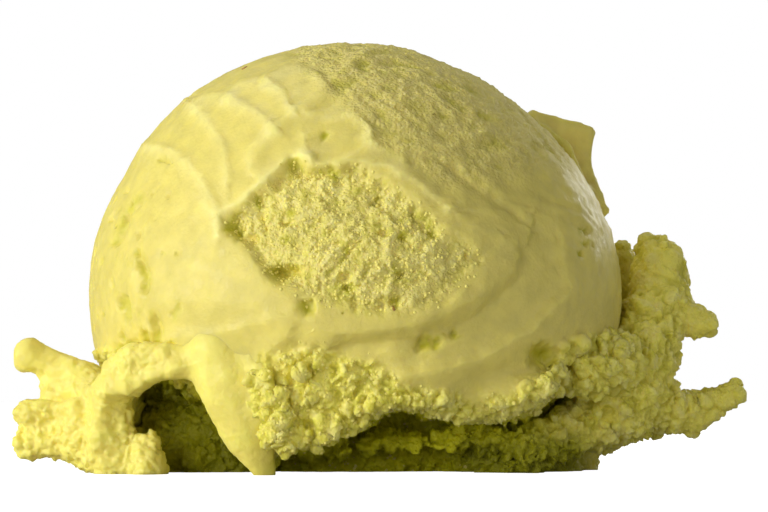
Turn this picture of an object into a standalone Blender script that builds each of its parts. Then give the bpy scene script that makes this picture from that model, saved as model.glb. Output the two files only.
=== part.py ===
"""One scoop of pistachio gelato on its flat foot.

The scoop is a single solid. A round spoon dragged it off the tub, which left a smooth dome with a torn
lower lip, a creamy skirt with a hollow on the left, a crumbly skirt with two horns on the right, a thin
curl behind the right shoulder and a coarse broken patch on the front, where the spoon's skin came away.

Blender metres, +Z up. The side with the broken patch faces -Y. The origin is on the foot, under the
middle of the scoop's box. Sizes and places below are millimetres, from the middle of the photographed side.
"""

import math
import random

import bmesh
import bpy
import numpy as np
from mathutils import Matrix, Vector

MM = 0.001
NODE = "gelato_scoop"

# The dome that the round spoon shaped: its radius by angle, up from the right, and its depth
DOME_CENTRE = (-2.6, 0.0, 20.4)
DOME_ANGLES = (-90, -30, 0, 12, 24, 36, 48, 66, 84, 102, 120, 138, 156, 168, 180, 210, 270)
DOME_RADII = (27.0, 29.4, 29.6, 29.4, 28.8, 28.1, 27.4, 27.2, 27.4, 27.7, 28.4, 29.0, 29.0, 30.1, 30.4,
              30.0, 27.0)
DOME_DEPTH = 29.0
DOME_BLUR = 7.0

# The eye that sees the front: marks on the front are placed where this eye sees them on the plane y = 0
EYE = (0.45, -340.0, 8.0)

# The dome's torn lip as seen from the front, how far it flares there, and its height round the back
LIP_ACROSS = (-34.0, -31.7, -21.5, -19.8, -15.9, -12.7, -10.2, -6.6, -3.4, 1.4, 7.9, 13.6, 18.7, 20.4, 24.9,
              29.4)
LIP_UP = (13.4, 12.9, 11.8, 8.8, 3.4, 0.9, 3.8, 4.3, 5.9, 8.4, 7.2, 6.7, 10.0, 12.9, 14.1, 15.3)
LIP_FLARES = (0.4, 0.4, 0.4, 0.6, 0.8, 0.8, 1.2, 1.4, 1.5, 1.9, 2.1, 2.2, 2.0, 0.6, 0.2, 0.2)
FLARE_HEIGHT = 3.6
UNDERSIDE_DIP = 0.12
LIP_BACK_HEIGHT = 6.5
LIP_TEAR_SIZE, LIP_TEAR = 2.6, 0.9

# Clay-like strokes: each key is a ball (x, y, z, radius), and each pair of keys is bridged
FOOT = (
    ((-4.0, 6.0, 6.0, 16.0), (0.0, 8.0, 6.0, 17.0)),
    ((-20.0, -2.0, 1.0, 9.0), (-22.0, 10.0, 1.0, 9.0), (-8.0, 20.0, 1.0, 7.0), (14.0, 16.0, 1.0, 8.0)),
    ((14.0, -1.0, 2.0, 9.0), (17.0, 6.0, 2.0, 8.4)),
)
CREAMY_SKIRT = {
    "knob": ((-38.5, -10.0, 12.8, 1.9), (-36.0, -10.0, 11.7, 1.8), (-33.5, -10.5, 10.2, 2.4),
             (-31.4, -11.5, 9.3, 2.4)),
    "groove": ((-36.7, -10.6, 9.7, 1.5), (-33.0, -11.0, 8.4, 2.2)),
    "low_knob": ((-38.0, -11.0, 6.7, 1.8), (-35.2, -11.5, 7.2, 2.1), (-32.0, -12.0, 7.8, 2.8)),
    "left_foot": ((-38.6, -11.0, 3.2, 1.7), (-36.2, -11.4, 3.5, 1.7), (-33.2, -12.0, 4.0, 2.6),
                  (-30.0, -12.0, 2.4, 3.0)),
    "cheek": ((-31.0, -10.0, 7.6, 4.0), (-30.4, -3.0, 7.0, 4.4), (-30.0, 5.0, 6.4, 4.2)),
    "left_mass": ((-35.4, -8.4, 5.6, 2.6), (-34.4, -5.0, 6.2, 3.2), (-32.0, 0.0, 6.0, 4.6)),
    "arch": ((-29.4, -16.5, 9.0, 1.8), (-27.9, -18.0, 10.8, 2.1), (-25.5, -20.0, 11.8, 2.4),
             (-22.8, -21.4, 12.4, 1.8), (-20.2, -22.2, 11.9, 1.7), (-18.0, -22.6, 12.4, 2.0)),
    "post": ((-29.4, -16.2, 8.6, 1.9), (-28.9, -16.2, 6.3, 2.2), (-28.8, -16.2, 3.6, 2.3),
             (-28.2, -16.0, 0.4, 2.4)),
    "behind_post": ((-31.6, -13.6, 7.2, 2.6), (-31.4, -13.8, 3.8, 2.8)),
    "ledge": ((-27.4, -16.6, 3.2, 1.4), (-26.4, -16.8, 1.6, 1.5)),
    "doorstep": ((-24.6, -17.6, 3.9, 1.0), (-24.9, -17.8, 2.0, 1.6), (-24.8, -17.8, 0.4, 2.0)),
    "tongue": ((-18.4, -20.8, 16.8, 2.2), (-16.9, -22.2, 13.2, 3.5), (-15.8, -22.6, 8.8, 3.5),
               (-14.1, -22.6, 4.9, 2.8), (-12.8, -22.4, 2.1, 1.8), (-11.9, -22.0, 0.2, 1.2)),
    "tongue_right": ((-13.4, -23.8, 13.4, 2.0), (-12.2, -24.2, 10.4, 2.4), (-12.0, -24.0, 7.4, 2.2)),
}
CRUMBLY_SKIRT = {
    "front_shelf": ((-8.6, -23.8, 7.2, 2.4), (-6.4, -24.8, 9.4, 2.4), (-3.6, -25.6, 10.4, 2.1),
                    (0.4, -26.0, 9.8, 1.7)),
    "shelf_drip": ((-9.0, -23.4, 4.4, 1.8), (-5.4, -24.4, 6.0, 1.9), (-2.6, -24.4, 7.2, 1.8)),
    "knob": ((30.8, 2.0, 25.6, 1.5), (31.8, 2.0, 23.2, 3.0), (32.0, 1.4, 19.6, 3.2), (30.2, -1.0, 15.4, 3.5),
             (28.6, -3.6, 11.4, 4.3), (25.6, -6.0, 7.4, 5.0)),
    "behind": ((27.8, 7.0, 25.0, 1.6), (27.6, 8.0, 21.6, 2.5), (27.0, 8.0, 14.0, 4.2),
               (25.0, 8.0, 7.0, 5.4)),
    "upper_horn": ((32.4, 0.6, 18.2, 2.4), (35.4, 0.4, 17.0, 1.8), (37.2, 0.2, 16.5, 1.2)),
    "lower_horn": ((30.0, -3.4, 7.4, 3.2), (33.6, -2.6, 6.6, 2.1), (36.2, -2.0, 6.9, 1.7),
                   (38.2, -2.0, 7.9, 1.6), (39.6, -2.0, 8.5, 1.5)),
    "horn_drip": ((31.9, -2.6, 6.2, 2.0), (35.3, -2.4, 5.6, 1.5)),
    "side_crumbs": ((22.4, -15.2, 11.0, 2.8), (25.6, -11.0, 12.6, 3.6)),
    "lip_tip": ((12.0, -23.6, 9.6, 2.0), (16.2, -22.6, 9.2, 1.3), (18.9, -21.0, 10.3, 0.5)),
    "right_foot": ((26.0, -7.0, 6.4, 3.2), (20.8, -9.6, 4.2, 2.7), (16.4, -12.0, 2.4, 2.8),
                   (12.4, -11.0, 1.4, 3.0)),
    "cave_lumps": ((15.0, -13.6, 2.2, 2.4), (9.0, -13.0, 3.6, 2.2), (6.0, -14.4, 0.8, 2.4),
                   (1.0, -12.4, 3.0, 2.2), (-3.0, -14.0, 0.6, 2.4), (-7.0, -13.0, 3.4, 2.2)),
    "back_skirt": ((24.0, 14.0, 6.0, 4.6), (14.0, 23.0, 5.0, 4.4), (0.0, 27.6, 5.4, 4.6),
                   (-14.0, 24.6, 5.0, 4.2), (-24.0, 16.6, 5.6, 4.2), (-29.0, 8.0, 6.0, 3.8)),
}
CURL = (
    ((17.4, 5.4, 40.6, 1.0), (24.4, 8.3, 39.1, 1.0), (23.9, 8.0, 36.1, 0.9), (17.0, 7.0, 36.0, 1.6)),
    ((23.9, 8.0, 36.1, 0.9), (24.9, 6.6, 31.4, 0.9), (19.0, 7.0, 32.0, 1.6), (17.0, 7.0, 36.0, 1.6)),
    ((24.8, 6.2, 32.4, 0.8), (25.9, 5.2, 29.6, 0.8), (21.0, 5.0, 28.0, 1.6)),
)
HOLLOWS = {
    "left_cave": ((-23.6, -23.0, 6.6, 2.6), (-20.6, -20.0, 6.6, 4.4), (-19.6, -15.0, 4.0, 4.0)),
    "left_cave_floor": ((-21.6, -22.6, 1.8, 2.6), (-19.0, -18.0, 1.0, 3.4), (-15.6, -19.0, -0.6, 2.6)),
    "front_cave": ((-7.6, -20.0, 0.6, 2.6), (2.0, -20.0, 1.8, 4.0), (12.0, -19.4, 1.8, 4.0)),
    "front_cave_depth": ((-6.0, -14.0, 0.6, 2.6), (2.0, -13.0, 0.6, 2.8), (11.0, -14.0, 0.6, 3.0)),
}

# The broken patch as seen from the front (across, up), how deep it is, and the width and wander of its edge
PATCH_OUTLINE = (
    (-18.0, 27.8), (-16.2, 30.2), (-11.8, 34.0), (-9.3, 35.4), (-7.7, 34.8), (-2.6, 34.9),
    (1.8, 32.7), (5.0, 30.7), (7.6, 28.3), (11.5, 26.0), (12.9, 23.5), (10.2, 20.1),
    (5.0, 17.2), (-0.0, 16.1), (-5.7, 17.2), (-9.1, 18.6), (-13.4, 22.0),
)
PATCH_DEPTH = 1.2
PATCH_EDGE = 0.9
PATCH_WANDER = 0.45

# The patch is steep and deep towards the upper left, and fades down this slope to a soft and shallow edge
PATCH_SLOPE = (-0.6, 0.8)
PATCH_FADE = (17.0, 27.0)
PATCH_SOFT_EDGE = 3.6
PATCH_SHALLOW = 0.45

# Marks that the spoon left, as seen from the front: each runs through its keys, is so wide, stands so proud
MARKS = (
    ("scale_1", ((-20.6, 42.0), (-17.2, 42.6), (-14.6, 44.5), (-11.9, 45.7)), 1.1, 0.35),
    ("scale_2", ((-17.2, 42.6), (-14.6, 41.2), (-12.6, 39.5), (-14.6, 37.2), (-14.7, 36.2)), 1.0, 0.45),
    ("scale_3", ((-13.7, 44.6), (-11.8, 42.8), (-9.4, 41.2), (-10.8, 39.4), (-12.6, 38.6)), 1.0, 0.4),
    ("scale_4", ((-8.9, 45.6), (-7.1, 44.3), (-7.9, 42.8), (-9.3, 41.2)), 1.0, 0.35),
    ("scale_5", ((-20.6, 40.6), (-19.0, 38.1), (-17.4, 35.8), (-17.2, 34.1), (-18.0, 31.7)), 1.1, 0.45),
    ("scale_6", ((-24.9, 36.2), (-21.3, 35.5), (-20.3, 33.3), (-18.0, 29.3)), 1.1, 0.4),
    ("patch_rim", ((-18.0, 28.1), (-15.9, 31.0), (-10.8, 35.1), (-8.7, 36.5),
                   (-7.0, 35.1), (-2.3, 35.3), (4.5, 31.7)), 1.1, 0.35),
    ("top_band_edge", ((-9.1, 38.5), (-5.7, 41.7), (-3.2, 44.4), (-1.1, 46.6)), 1.6, 0.35),
    ("under_patch_groove", ((-4.0, 14.0), (4.5, 14.7), (11.3, 17.4), (16.1, 21.5), (16.8, 24.9)), 2.6, -0.7),
    ("lower_drag", ((2.3, 10.6), (10.2, 12.2), (17.0, 15.8), (21.1, 20.4), (20.4, 24.9)), 1.6, 0.4),
    ("shoulder_drag", ((6.8, 38.5), (12.4, 34.5), (17.0, 29.4), (19.5, 23.5)), 1.8, -0.35),
    ("left_smear", ((-27.2, 19.2), (-20.4, 19.2), (-13.4, 18.6), (-6.6, 16.3)), 3.0, 0.4),
    ("side_pits", ((-29.7, 26.3), (-28.8, 23.5), (-26.5, 21.1), (-26.3, 19.5)), 0.8, -0.7),
)

# Relief left by the spoon and by tearing: how large the bumps are, and how high
SWELL_SIZE, SWELL_HEIGHT = 17.0, 0.3
DRAG_SIZE, DRAG_HEIGHT = 2.6, 0.35
CRUMB_SIZE, CRUMB_HEIGHT = 2.5, 1.25
CREASE_SIZE, CREASE_HEIGHT = 4.6, 0.35

# Crumbs fused to the crumbly skirt
CRUMBS_PER_STROKE_MM = 2.4
CRUMB_RADII = (0.9, 2.0)
CRUMB_SHARE_OF_STROKE = 0.75
CRUMB_SUNK = 0.1
CRUMB_SEED = 11

# How finely the solid is made
BALL_SUBDIVISIONS = 3
DOME_SUBDIVISIONS = 6
VOXEL = 0.6
FINE_VOXEL = 0.5
SMOOTHING_PASSES = 1
FOOT_SPARE = 0.8
TRIANGLES = 11400

GELATO_COLOUR = (0.72, 0.66, 0.24, 1.0)
GELATO_ROUGHNESS = 0.55


def clear_scene():
    for obj in list(bpy.data.objects):
        bpy.data.objects.remove(obj)


def smoothstep(low, high, value):
    """0 below low, 1 above high, and a smooth rise between."""
    share = np.clip((value - low) / (high - low), 0.0, 1.0)
    return share * share * (3.0 - 2.0 * share)


def corner_value(cell, seed):
    """A repeatable value from -1 to 1 for each whole-number cell corner."""
    mixed = cell.astype(np.int64) @ np.array((73856093, 19349663, 83492791)) + seed * 2654435761
    mixed = (mixed ^ (mixed >> 13)) * 1274126177 & 0xFFFFFFFF
    return ((mixed ^ (mixed >> 15)) & 0xFFFF) / 32767.5 - 1.0


def soft_noise(points, size, seed):
    """Smooth noise from -1 to 1, whose bumps are about size across."""
    scaled = points / size
    base = np.floor(scaled)
    share = scaled - base
    share = share * share * share * (share * (share * 6.0 - 15.0) + 10.0)
    total = np.zeros(len(points))
    for corner in np.ndindex(2, 2, 2):
        step = np.array(corner)
        weight = np.prod(np.where(step, share, 1.0 - share), axis=1)
        total += weight * corner_value(base + step, seed)
    return total


def layered_noise(points, size, seed, layers=3):
    """Soft noise at halving sizes, each half as strong."""
    return sum(soft_noise(points, size / 2**n, seed + n) / 2**n for n in range(layers))


def cell_distance(points, size, seed):
    """Distance to the nearest of the seeds strewn one to a cell, as a share of size."""
    scaled = points / size
    base = np.floor(scaled)
    nearest = np.full(len(points), 9.0)
    for step in np.ndindex(3, 3, 3):
        cell = base + np.array(step) - 1.0
        strewn = [0.5 + 0.45 * corner_value(cell, seed + axis) for axis in range(3)]
        gap = np.linalg.norm(cell + np.stack(strewn, axis=1) - scaled, axis=1)
        nearest = np.minimum(nearest, gap)
    return nearest


def ball_points(key, subdivisions):
    """The points of a ball (x, y, z, radius)."""
    ball = bmesh.new()
    place = Matrix.Translation(key[:3])
    bmesh.ops.create_icosphere(ball, subdivisions=subdivisions, radius=key[3], matrix=place)
    points = [v.co.copy() for v in ball.verts]
    ball.free()
    return points


def add_hull(bm, keys, subdivisions=BALL_SUBDIVISIONS - 1):
    """Adds the tight skin round a few balls, as clay pulled from one to the next."""
    points = [p for key in keys for p in ball_points(key, subdivisions)]
    verts = [bm.verts.new(p) for p in points]
    made = bmesh.ops.convex_hull(bm, input=verts)
    inside = {g for g in made["geom_interior"] + made["geom_unused"] if isinstance(g, bmesh.types.BMVert)}
    bmesh.ops.delete(bm, geom=list(inside), context="VERTS")


def add_stroke(bm, keys):
    """Adds a stroke: each ball is bridged to the next."""
    for pair in zip(keys, keys[1:]):
        add_hull(bm, pair)


def seen_from_front(points):
    """Where the eye sees each point on the plane y = 0, as across and up."""
    away = (points[:, 1] - EYE[1]) / -EYE[1]
    across = EYE[0] + (points[:, 0] - EYE[0]) / away
    up = EYE[2] + (points[:, 2] - EYE[2]) / away
    return np.stack([across, up], axis=1)


def dome_radii(away):
    """The dome's radii along x, y and z for each direction away from its centre."""
    every = np.arange(-90, 270)
    table = np.interp(every, DOME_ANGLES, DOME_RADII)
    blur = np.exp(-((np.arange(-20, 21) / DOME_BLUR) ** 2))
    table = np.convolve(np.pad(table, 20, mode="wrap"), blur / blur.sum(), mode="valid")
    angle = (np.degrees(np.arctan2(away[:, 2], away[:, 0])) + 90.0) % 360.0 - 90.0
    radius = np.interp(angle, every, table, period=360)
    return np.stack([radius, np.full(len(away), DOME_DEPTH), radius], axis=1)


def lip_height(points):
    """The height of the torn lip above or below each point of the dome."""
    away = (points[:, 1] - EYE[1]) / -EYE[1]
    across = seen_from_front(points)[:, 0]
    front = EYE[2] + (np.interp(across, LIP_ACROSS, LIP_UP) - EYE[2]) * away
    back = smoothstep(-9.0, 3.0, points[:, 1])
    torn = LIP_TEAR * soft_noise(points * (1.0, 1.0, 0.0), LIP_TEAR_SIZE, 5)
    return front + (LIP_BACK_HEIGHT - front) * back + torn


def add_dome(bm):
    """Adds the dome, which ends below in a flat torn underside that flares a little at the lip."""
    made = bmesh.ops.create_icosphere(bm, subdivisions=DOME_SUBDIVISIONS, radius=1.0)
    unit = np.array([v.co for v in made["verts"]])
    points = unit * dome_radii(unit) + DOME_CENTRE
    lip = lip_height(points)
    above = points[:, 2] - lip
    flare = np.interp(seen_from_front(points)[:, 0], LIP_ACROSS, LIP_FLARES)
    flare *= np.exp(-np.maximum(above, 0.0) / FLARE_HEIGHT)
    outward = unit * (1.0, 1.0, 0.0)
    points += outward * flare[:, None]
    points[:, 2] = np.where(above < 0.0, lip + UNDERSIDE_DIP * above, points[:, 2])
    for vert, point in zip(made["verts"], points):
        vert.co = point


def crumb_keys(strokes, rng):
    """Balls strewn over the strokes' surfaces, sunk a little in them."""
    for keys in strokes.values():
        for start, end in zip(keys, keys[1:]):
            a, b = Vector(start[:3]), Vector(end[:3])
            for _ in range(round((b - a).length * CRUMBS_PER_STROKE_MM) + 1):
                share = rng.random()
                radius = start[3] + (end[3] - start[3]) * share
                turn, rise = rng.uniform(0, math.tau), rng.uniform(-1, 1)
                flat = math.sqrt(1 - rise * rise)
                away = Vector((flat * math.cos(turn), flat * math.sin(turn), rise))
                size = min(rng.uniform(*CRUMB_RADII), CRUMB_SHARE_OF_STROKE * radius)
                yield (*(a.lerp(b, share) + away * (radius - CRUMB_SUNK * size)), size)


def evaluated_copy(obj):
    """The object's mesh with its modifiers, as a mesh of its own."""
    graph = bpy.context.evaluated_depsgraph_get()
    return bpy.data.meshes.new_from_object(obj.evaluated_get(graph))


def settle(obj):
    """Applies the object's modifiers to its mesh."""
    mesh = evaluated_copy(obj)
    obj.modifiers.clear()
    obj.data = mesh


def fused(name, bm):
    """An object of bm's overlapping shells, fused into one skin."""
    mesh = bpy.data.meshes.new(name)
    bm.to_mesh(mesh)
    bm.free()
    mesh.transform(Matrix.Scale(MM, 4))
    obj = bpy.data.objects.new(name, mesh)
    bpy.context.scene.collection.objects.link(obj)
    remesh = obj.modifiers.new("fuse", "REMESH")
    remesh.mode = "VOXEL"
    remesh.voxel_size = VOXEL * MM
    settle(obj)
    return obj


def make_masses():
    """The dome, foot, skirts, crumbs and curl as one rough skin."""
    bm = bmesh.new()
    add_dome(bm)
    for keys in (*FOOT, *CREAMY_SKIRT.values(), *CRUMBLY_SKIRT.values()):
        add_stroke(bm, keys)
    for key in crumb_keys(CRUMBLY_SKIRT, random.Random(CRUMB_SEED)):
        add_hull(bm, (key,))
    for corner_balls in CURL:
        add_hull(bm, corner_balls)
    return fused(NODE, bm)


def carve_hollows(scoop):
    """Cuts the caves under the lip and the left skirt, and softens every crease."""
    bm = bmesh.new()
    for keys in HOLLOWS.values():
        add_stroke(bm, keys)
    cutter = fused("hollows", bm)
    cutter.hide_render = True
    cutter.display_type = "WIRE"
    cut = scoop.modifiers.new("hollows", "BOOLEAN")
    cut.operation = "DIFFERENCE"
    cut.object = cutter
    even = scoop.modifiers.new("even", "REMESH")
    even.mode = "VOXEL"
    even.voxel_size = VOXEL * MM
    soften = scoop.modifiers.new("soften", "SMOOTH")
    soften.iterations = SMOOTHING_PASSES
    settle(scoop)
    bpy.data.objects.remove(cutter)


def stroke_distance(points, keys):
    """Distance from each point to the nearest surface of a stroke."""
    nearest = np.full(len(points), 1e3)
    for start, end in zip(keys, keys[1:]):
        a, along = np.array(start[:3]), np.array(end[:3]) - start[:3]
        share = np.clip((points - a) @ along / (along @ along), 0.0, 1.0)
        radius = start[3] + (end[3] - start[3]) * share
        gap = np.linalg.norm(points - a - share[:, None] * along, axis=1) - radius
        nearest = np.minimum(nearest, gap)
    return nearest


def group_distance(points, strokes):
    return np.min([stroke_distance(points, keys) for keys in strokes.values()], axis=0)


def line_distance(seen, start, end):
    """Distance from each seen point to the straight line between two others."""
    side = end - start
    share = np.clip((seen - start) @ side / (side @ side), 0.0, 1.0)
    return np.linalg.norm(seen - start - share[:, None] * side, axis=1)


def patch_share(points, seen):
    """1 inside the broken patch and 0 outside it."""
    wander = np.stack([soft_noise(points, 2.2, 21), soft_noise(points, 2.2, 22)], axis=1)
    seen = seen + PATCH_WANDER * wander
    outline = np.array(PATCH_OUTLINE, float)
    inside = np.zeros(len(points), bool)
    nearest = np.full(len(points), 1e3)
    for a, b in zip(outline, np.roll(outline, -1, axis=0)):
        nearest = np.minimum(nearest, line_distance(seen, a, b))
        crosses = (a[1] > seen[:, 1]) != (b[1] > seen[:, 1])
        rise = b[1] - a[1] or 1e-9
        inside ^= crosses & (seen[:, 0] < (b[0] - a[0]) * (seen[:, 1] - a[1]) / rise + a[0])
    edge = np.where(inside, nearest, -nearest)
    steep = smoothstep(*PATCH_FADE, seen @ PATCH_SLOPE)
    width = PATCH_SOFT_EDGE + (PATCH_EDGE - PATCH_SOFT_EDGE) * steep
    return smoothstep(0.0, width, edge) * (PATCH_SHALLOW + (1.0 - PATCH_SHALLOW) * steep)


def mark_height(seen):
    """How far the spoon's marks stand proud of the dome."""
    height = np.zeros(len(seen))
    for _, keys, width, proud in MARKS:
        keys = np.array(keys, float)
        nearest = np.min([line_distance(seen, a, b) for a, b in zip(keys, keys[1:])], axis=0)
        height += proud * np.exp(-((nearest / width) ** 2))
    return height


def relief(points):
    """How far each point of the skin stands out, in millimetres."""
    away = points - DOME_CENTRE
    reach = np.linalg.norm(away / dome_radii(away), axis=1)
    on_dome = smoothstep(0.9, 0.95, reach) * smoothstep(0.5, 3.0, points[:, 2] - lip_height(points))
    creamy = smoothstep(1.2, 0.3, group_distance(points, CREAMY_SKIRT))
    crumbly = smoothstep(1.6, 0.4, group_distance(points, CRUMBLY_SKIRT)) * (1.0 - creamy)
    crumbly = np.maximum(crumbly, (1.0 - on_dome) * (1.0 - creamy))
    seen = seen_from_front(points)
    front = on_dome * smoothstep(-1.0, -4.0, points[:, 1])
    patch = patch_share(points, seen) * front
    drag = soft_noise(points * (0.55, 0.55, 1.0), DRAG_SIZE * 2.0, 3) * soft_noise(points, DRAG_SIZE, 4)
    crumb = 0.7 - cell_distance(points, CRUMB_SIZE, 7)
    crease = layered_noise(points, CREASE_SIZE, 31)
    return (
        SWELL_HEIGHT * soft_noise(points, SWELL_SIZE, 1)
        + DRAG_HEIGHT * drag * on_dome * (1.0 - patch)
        + mark_height(seen) * front * (1.0 - patch)
        + CRUMB_HEIGHT * crumb * crumbly
        + CREASE_HEIGHT * crease * creamy
        - PATCH_DEPTH * patch
    )


def push_relief(scoop):
    """Moves each point of the skin along its normal by the relief."""
    count = len(scoop.data.vertices)
    points, normals = np.empty(count * 3), np.empty(count * 3)
    scoop.data.vertices.foreach_get("co", points)
    scoop.data.vertices.foreach_get("normal", normals)
    points, normals = points.reshape(-1, 3), normals.reshape(-1, 3)
    points += normals * (relief(points / MM) * MM)[:, None]
    scoop.data.vertices.foreach_set("co", points.ravel())
    scoop.data.update()
    even = scoop.modifiers.new("even", "REMESH")
    even.mode = "VOXEL"
    even.voxel_size = FINE_VOXEL * MM
    settle(scoop)


def cut_flat(scoop, height):
    """Cuts away what is below this height and closes the cut."""
    bm = bmesh.new()
    bm.from_mesh(scoop.data)
    everything = bm.verts[:] + bm.edges[:] + bm.faces[:]
    cut = bmesh.ops.bisect_plane(
        bm, geom=everything, plane_co=(0, 0, height * MM), plane_no=(0, 0, 1), dist=1e-6, clear_inner=True
    )
    rim = [g for g in cut["geom_cut"] if isinstance(g, bmesh.types.BMEdge)]
    bmesh.ops.triangle_fill(bm, use_beauty=True, edges=rim, normal=(0, 0, -1))
    bm.to_mesh(scoop.data)
    bm.free()


def thin_out(scoop):
    """Leaves fewer and larger triangles where the skin is even."""
    scoop.data.calc_loop_triangles()
    fewer = scoop.modifiers.new("fewer", "DECIMATE")
    fewer.ratio = TRIANGLES / len(scoop.data.loop_triangles)
    settle(scoop)


def centre_on_foot(scoop):
    """Moves the mesh so that the origin is under the middle of its box."""
    points = np.array([v.co for v in scoop.data.vertices])
    middle = (points.min(axis=0) + points.max(axis=0)) / 2
    scoop.data.transform(Matrix.Translation((-middle[0], -middle[1], 0.0)))
    print("middle of the box before the move, mm:", (middle / MM).round(2))


def gelato_material():
    material = bpy.data.materials.new("pistachio_gelato")
    material.use_nodes = True
    shader = material.node_tree.nodes["Principled BSDF"]
    shader.inputs["Base Color"].default_value = GELATO_COLOUR
    shader.inputs["Roughness"].default_value = GELATO_ROUGHNESS
    shader.inputs["Metallic"].default_value = 0.0
    return material


def main():
    clear_scene()
    scoop = make_masses()
    carve_hollows(scoop)
    push_relief(scoop)
    cut_flat(scoop, -FOOT_SPARE)
    thin_out(scoop)
    cut_flat(scoop, 0.0)
    centre_on_foot(scoop)
    scoop.data.shade_smooth()
    scoop.data.materials.clear()
    scoop.data.materials.append(gelato_material())


main()
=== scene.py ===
"""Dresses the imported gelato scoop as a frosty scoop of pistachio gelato, on a plain pale studio floor.

The solid scoop is replaced by a finer skin of the same masses: the dome that the spoon shaped, with its
scale-like plates, drag streaks and broken patch, the torn lip with its crumbs, the creamy skirt on the left
and the crumbly skirt on the right. Ice grains and flecks of nut skin are strewn over it.

Shapes are worked out in millimetres in the frame they were modelled in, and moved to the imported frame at
the end.
"""

import logging
import math
from dataclasses import dataclass
from enum import Enum
from typing import Callable

import bmesh
import bpy
import numpy as np
from mathutils import Matrix, Vector

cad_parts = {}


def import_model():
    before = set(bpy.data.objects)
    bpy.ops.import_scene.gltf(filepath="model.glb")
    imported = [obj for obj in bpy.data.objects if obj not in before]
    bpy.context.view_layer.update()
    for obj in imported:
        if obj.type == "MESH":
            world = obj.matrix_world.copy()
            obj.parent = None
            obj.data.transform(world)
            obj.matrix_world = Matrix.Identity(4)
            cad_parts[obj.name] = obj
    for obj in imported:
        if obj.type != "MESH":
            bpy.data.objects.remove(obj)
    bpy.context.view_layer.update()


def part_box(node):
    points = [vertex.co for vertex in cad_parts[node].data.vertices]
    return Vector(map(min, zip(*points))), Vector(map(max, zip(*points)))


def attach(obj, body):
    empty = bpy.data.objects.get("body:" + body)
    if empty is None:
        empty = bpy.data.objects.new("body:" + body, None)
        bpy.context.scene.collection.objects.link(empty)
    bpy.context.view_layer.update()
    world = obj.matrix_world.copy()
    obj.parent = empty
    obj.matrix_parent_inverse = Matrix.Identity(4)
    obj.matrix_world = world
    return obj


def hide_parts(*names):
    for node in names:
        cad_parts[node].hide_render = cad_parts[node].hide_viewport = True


log = logging.getLogger("gelato")

MM = 0.001
NODE = "gelato_scoop"
BODY = "root"

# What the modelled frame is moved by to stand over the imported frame's origin
FRAME_MOVE = (-0.53, -1.91, 0.0)

# The eye that sees the front, and how many millimetres of the plane y = 0 one pixel covers
EYE = (0.45, -340.0, 8.0)
PIXEL = 0.1132
FLOOR_DOWN = 470.0

Key = tuple[float, float, float, float]
Tone = tuple[float, float, float]
Point = tuple[float, float]


def smoothstep(low: float, high: float, value: np.ndarray) -> np.ndarray:
    """Rises smoothly from 0 to 1 between two values, or falls where low is above high.

    Args:
        low: Where the result is 0.
        high: Where the result is 1.
        value: The values to map.

    Returns:
        The share for each value.
    """
    share = np.clip((value - low) / (high - low), 0.0, 1.0)
    return share * share * (3.0 - 2.0 * share)


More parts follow.
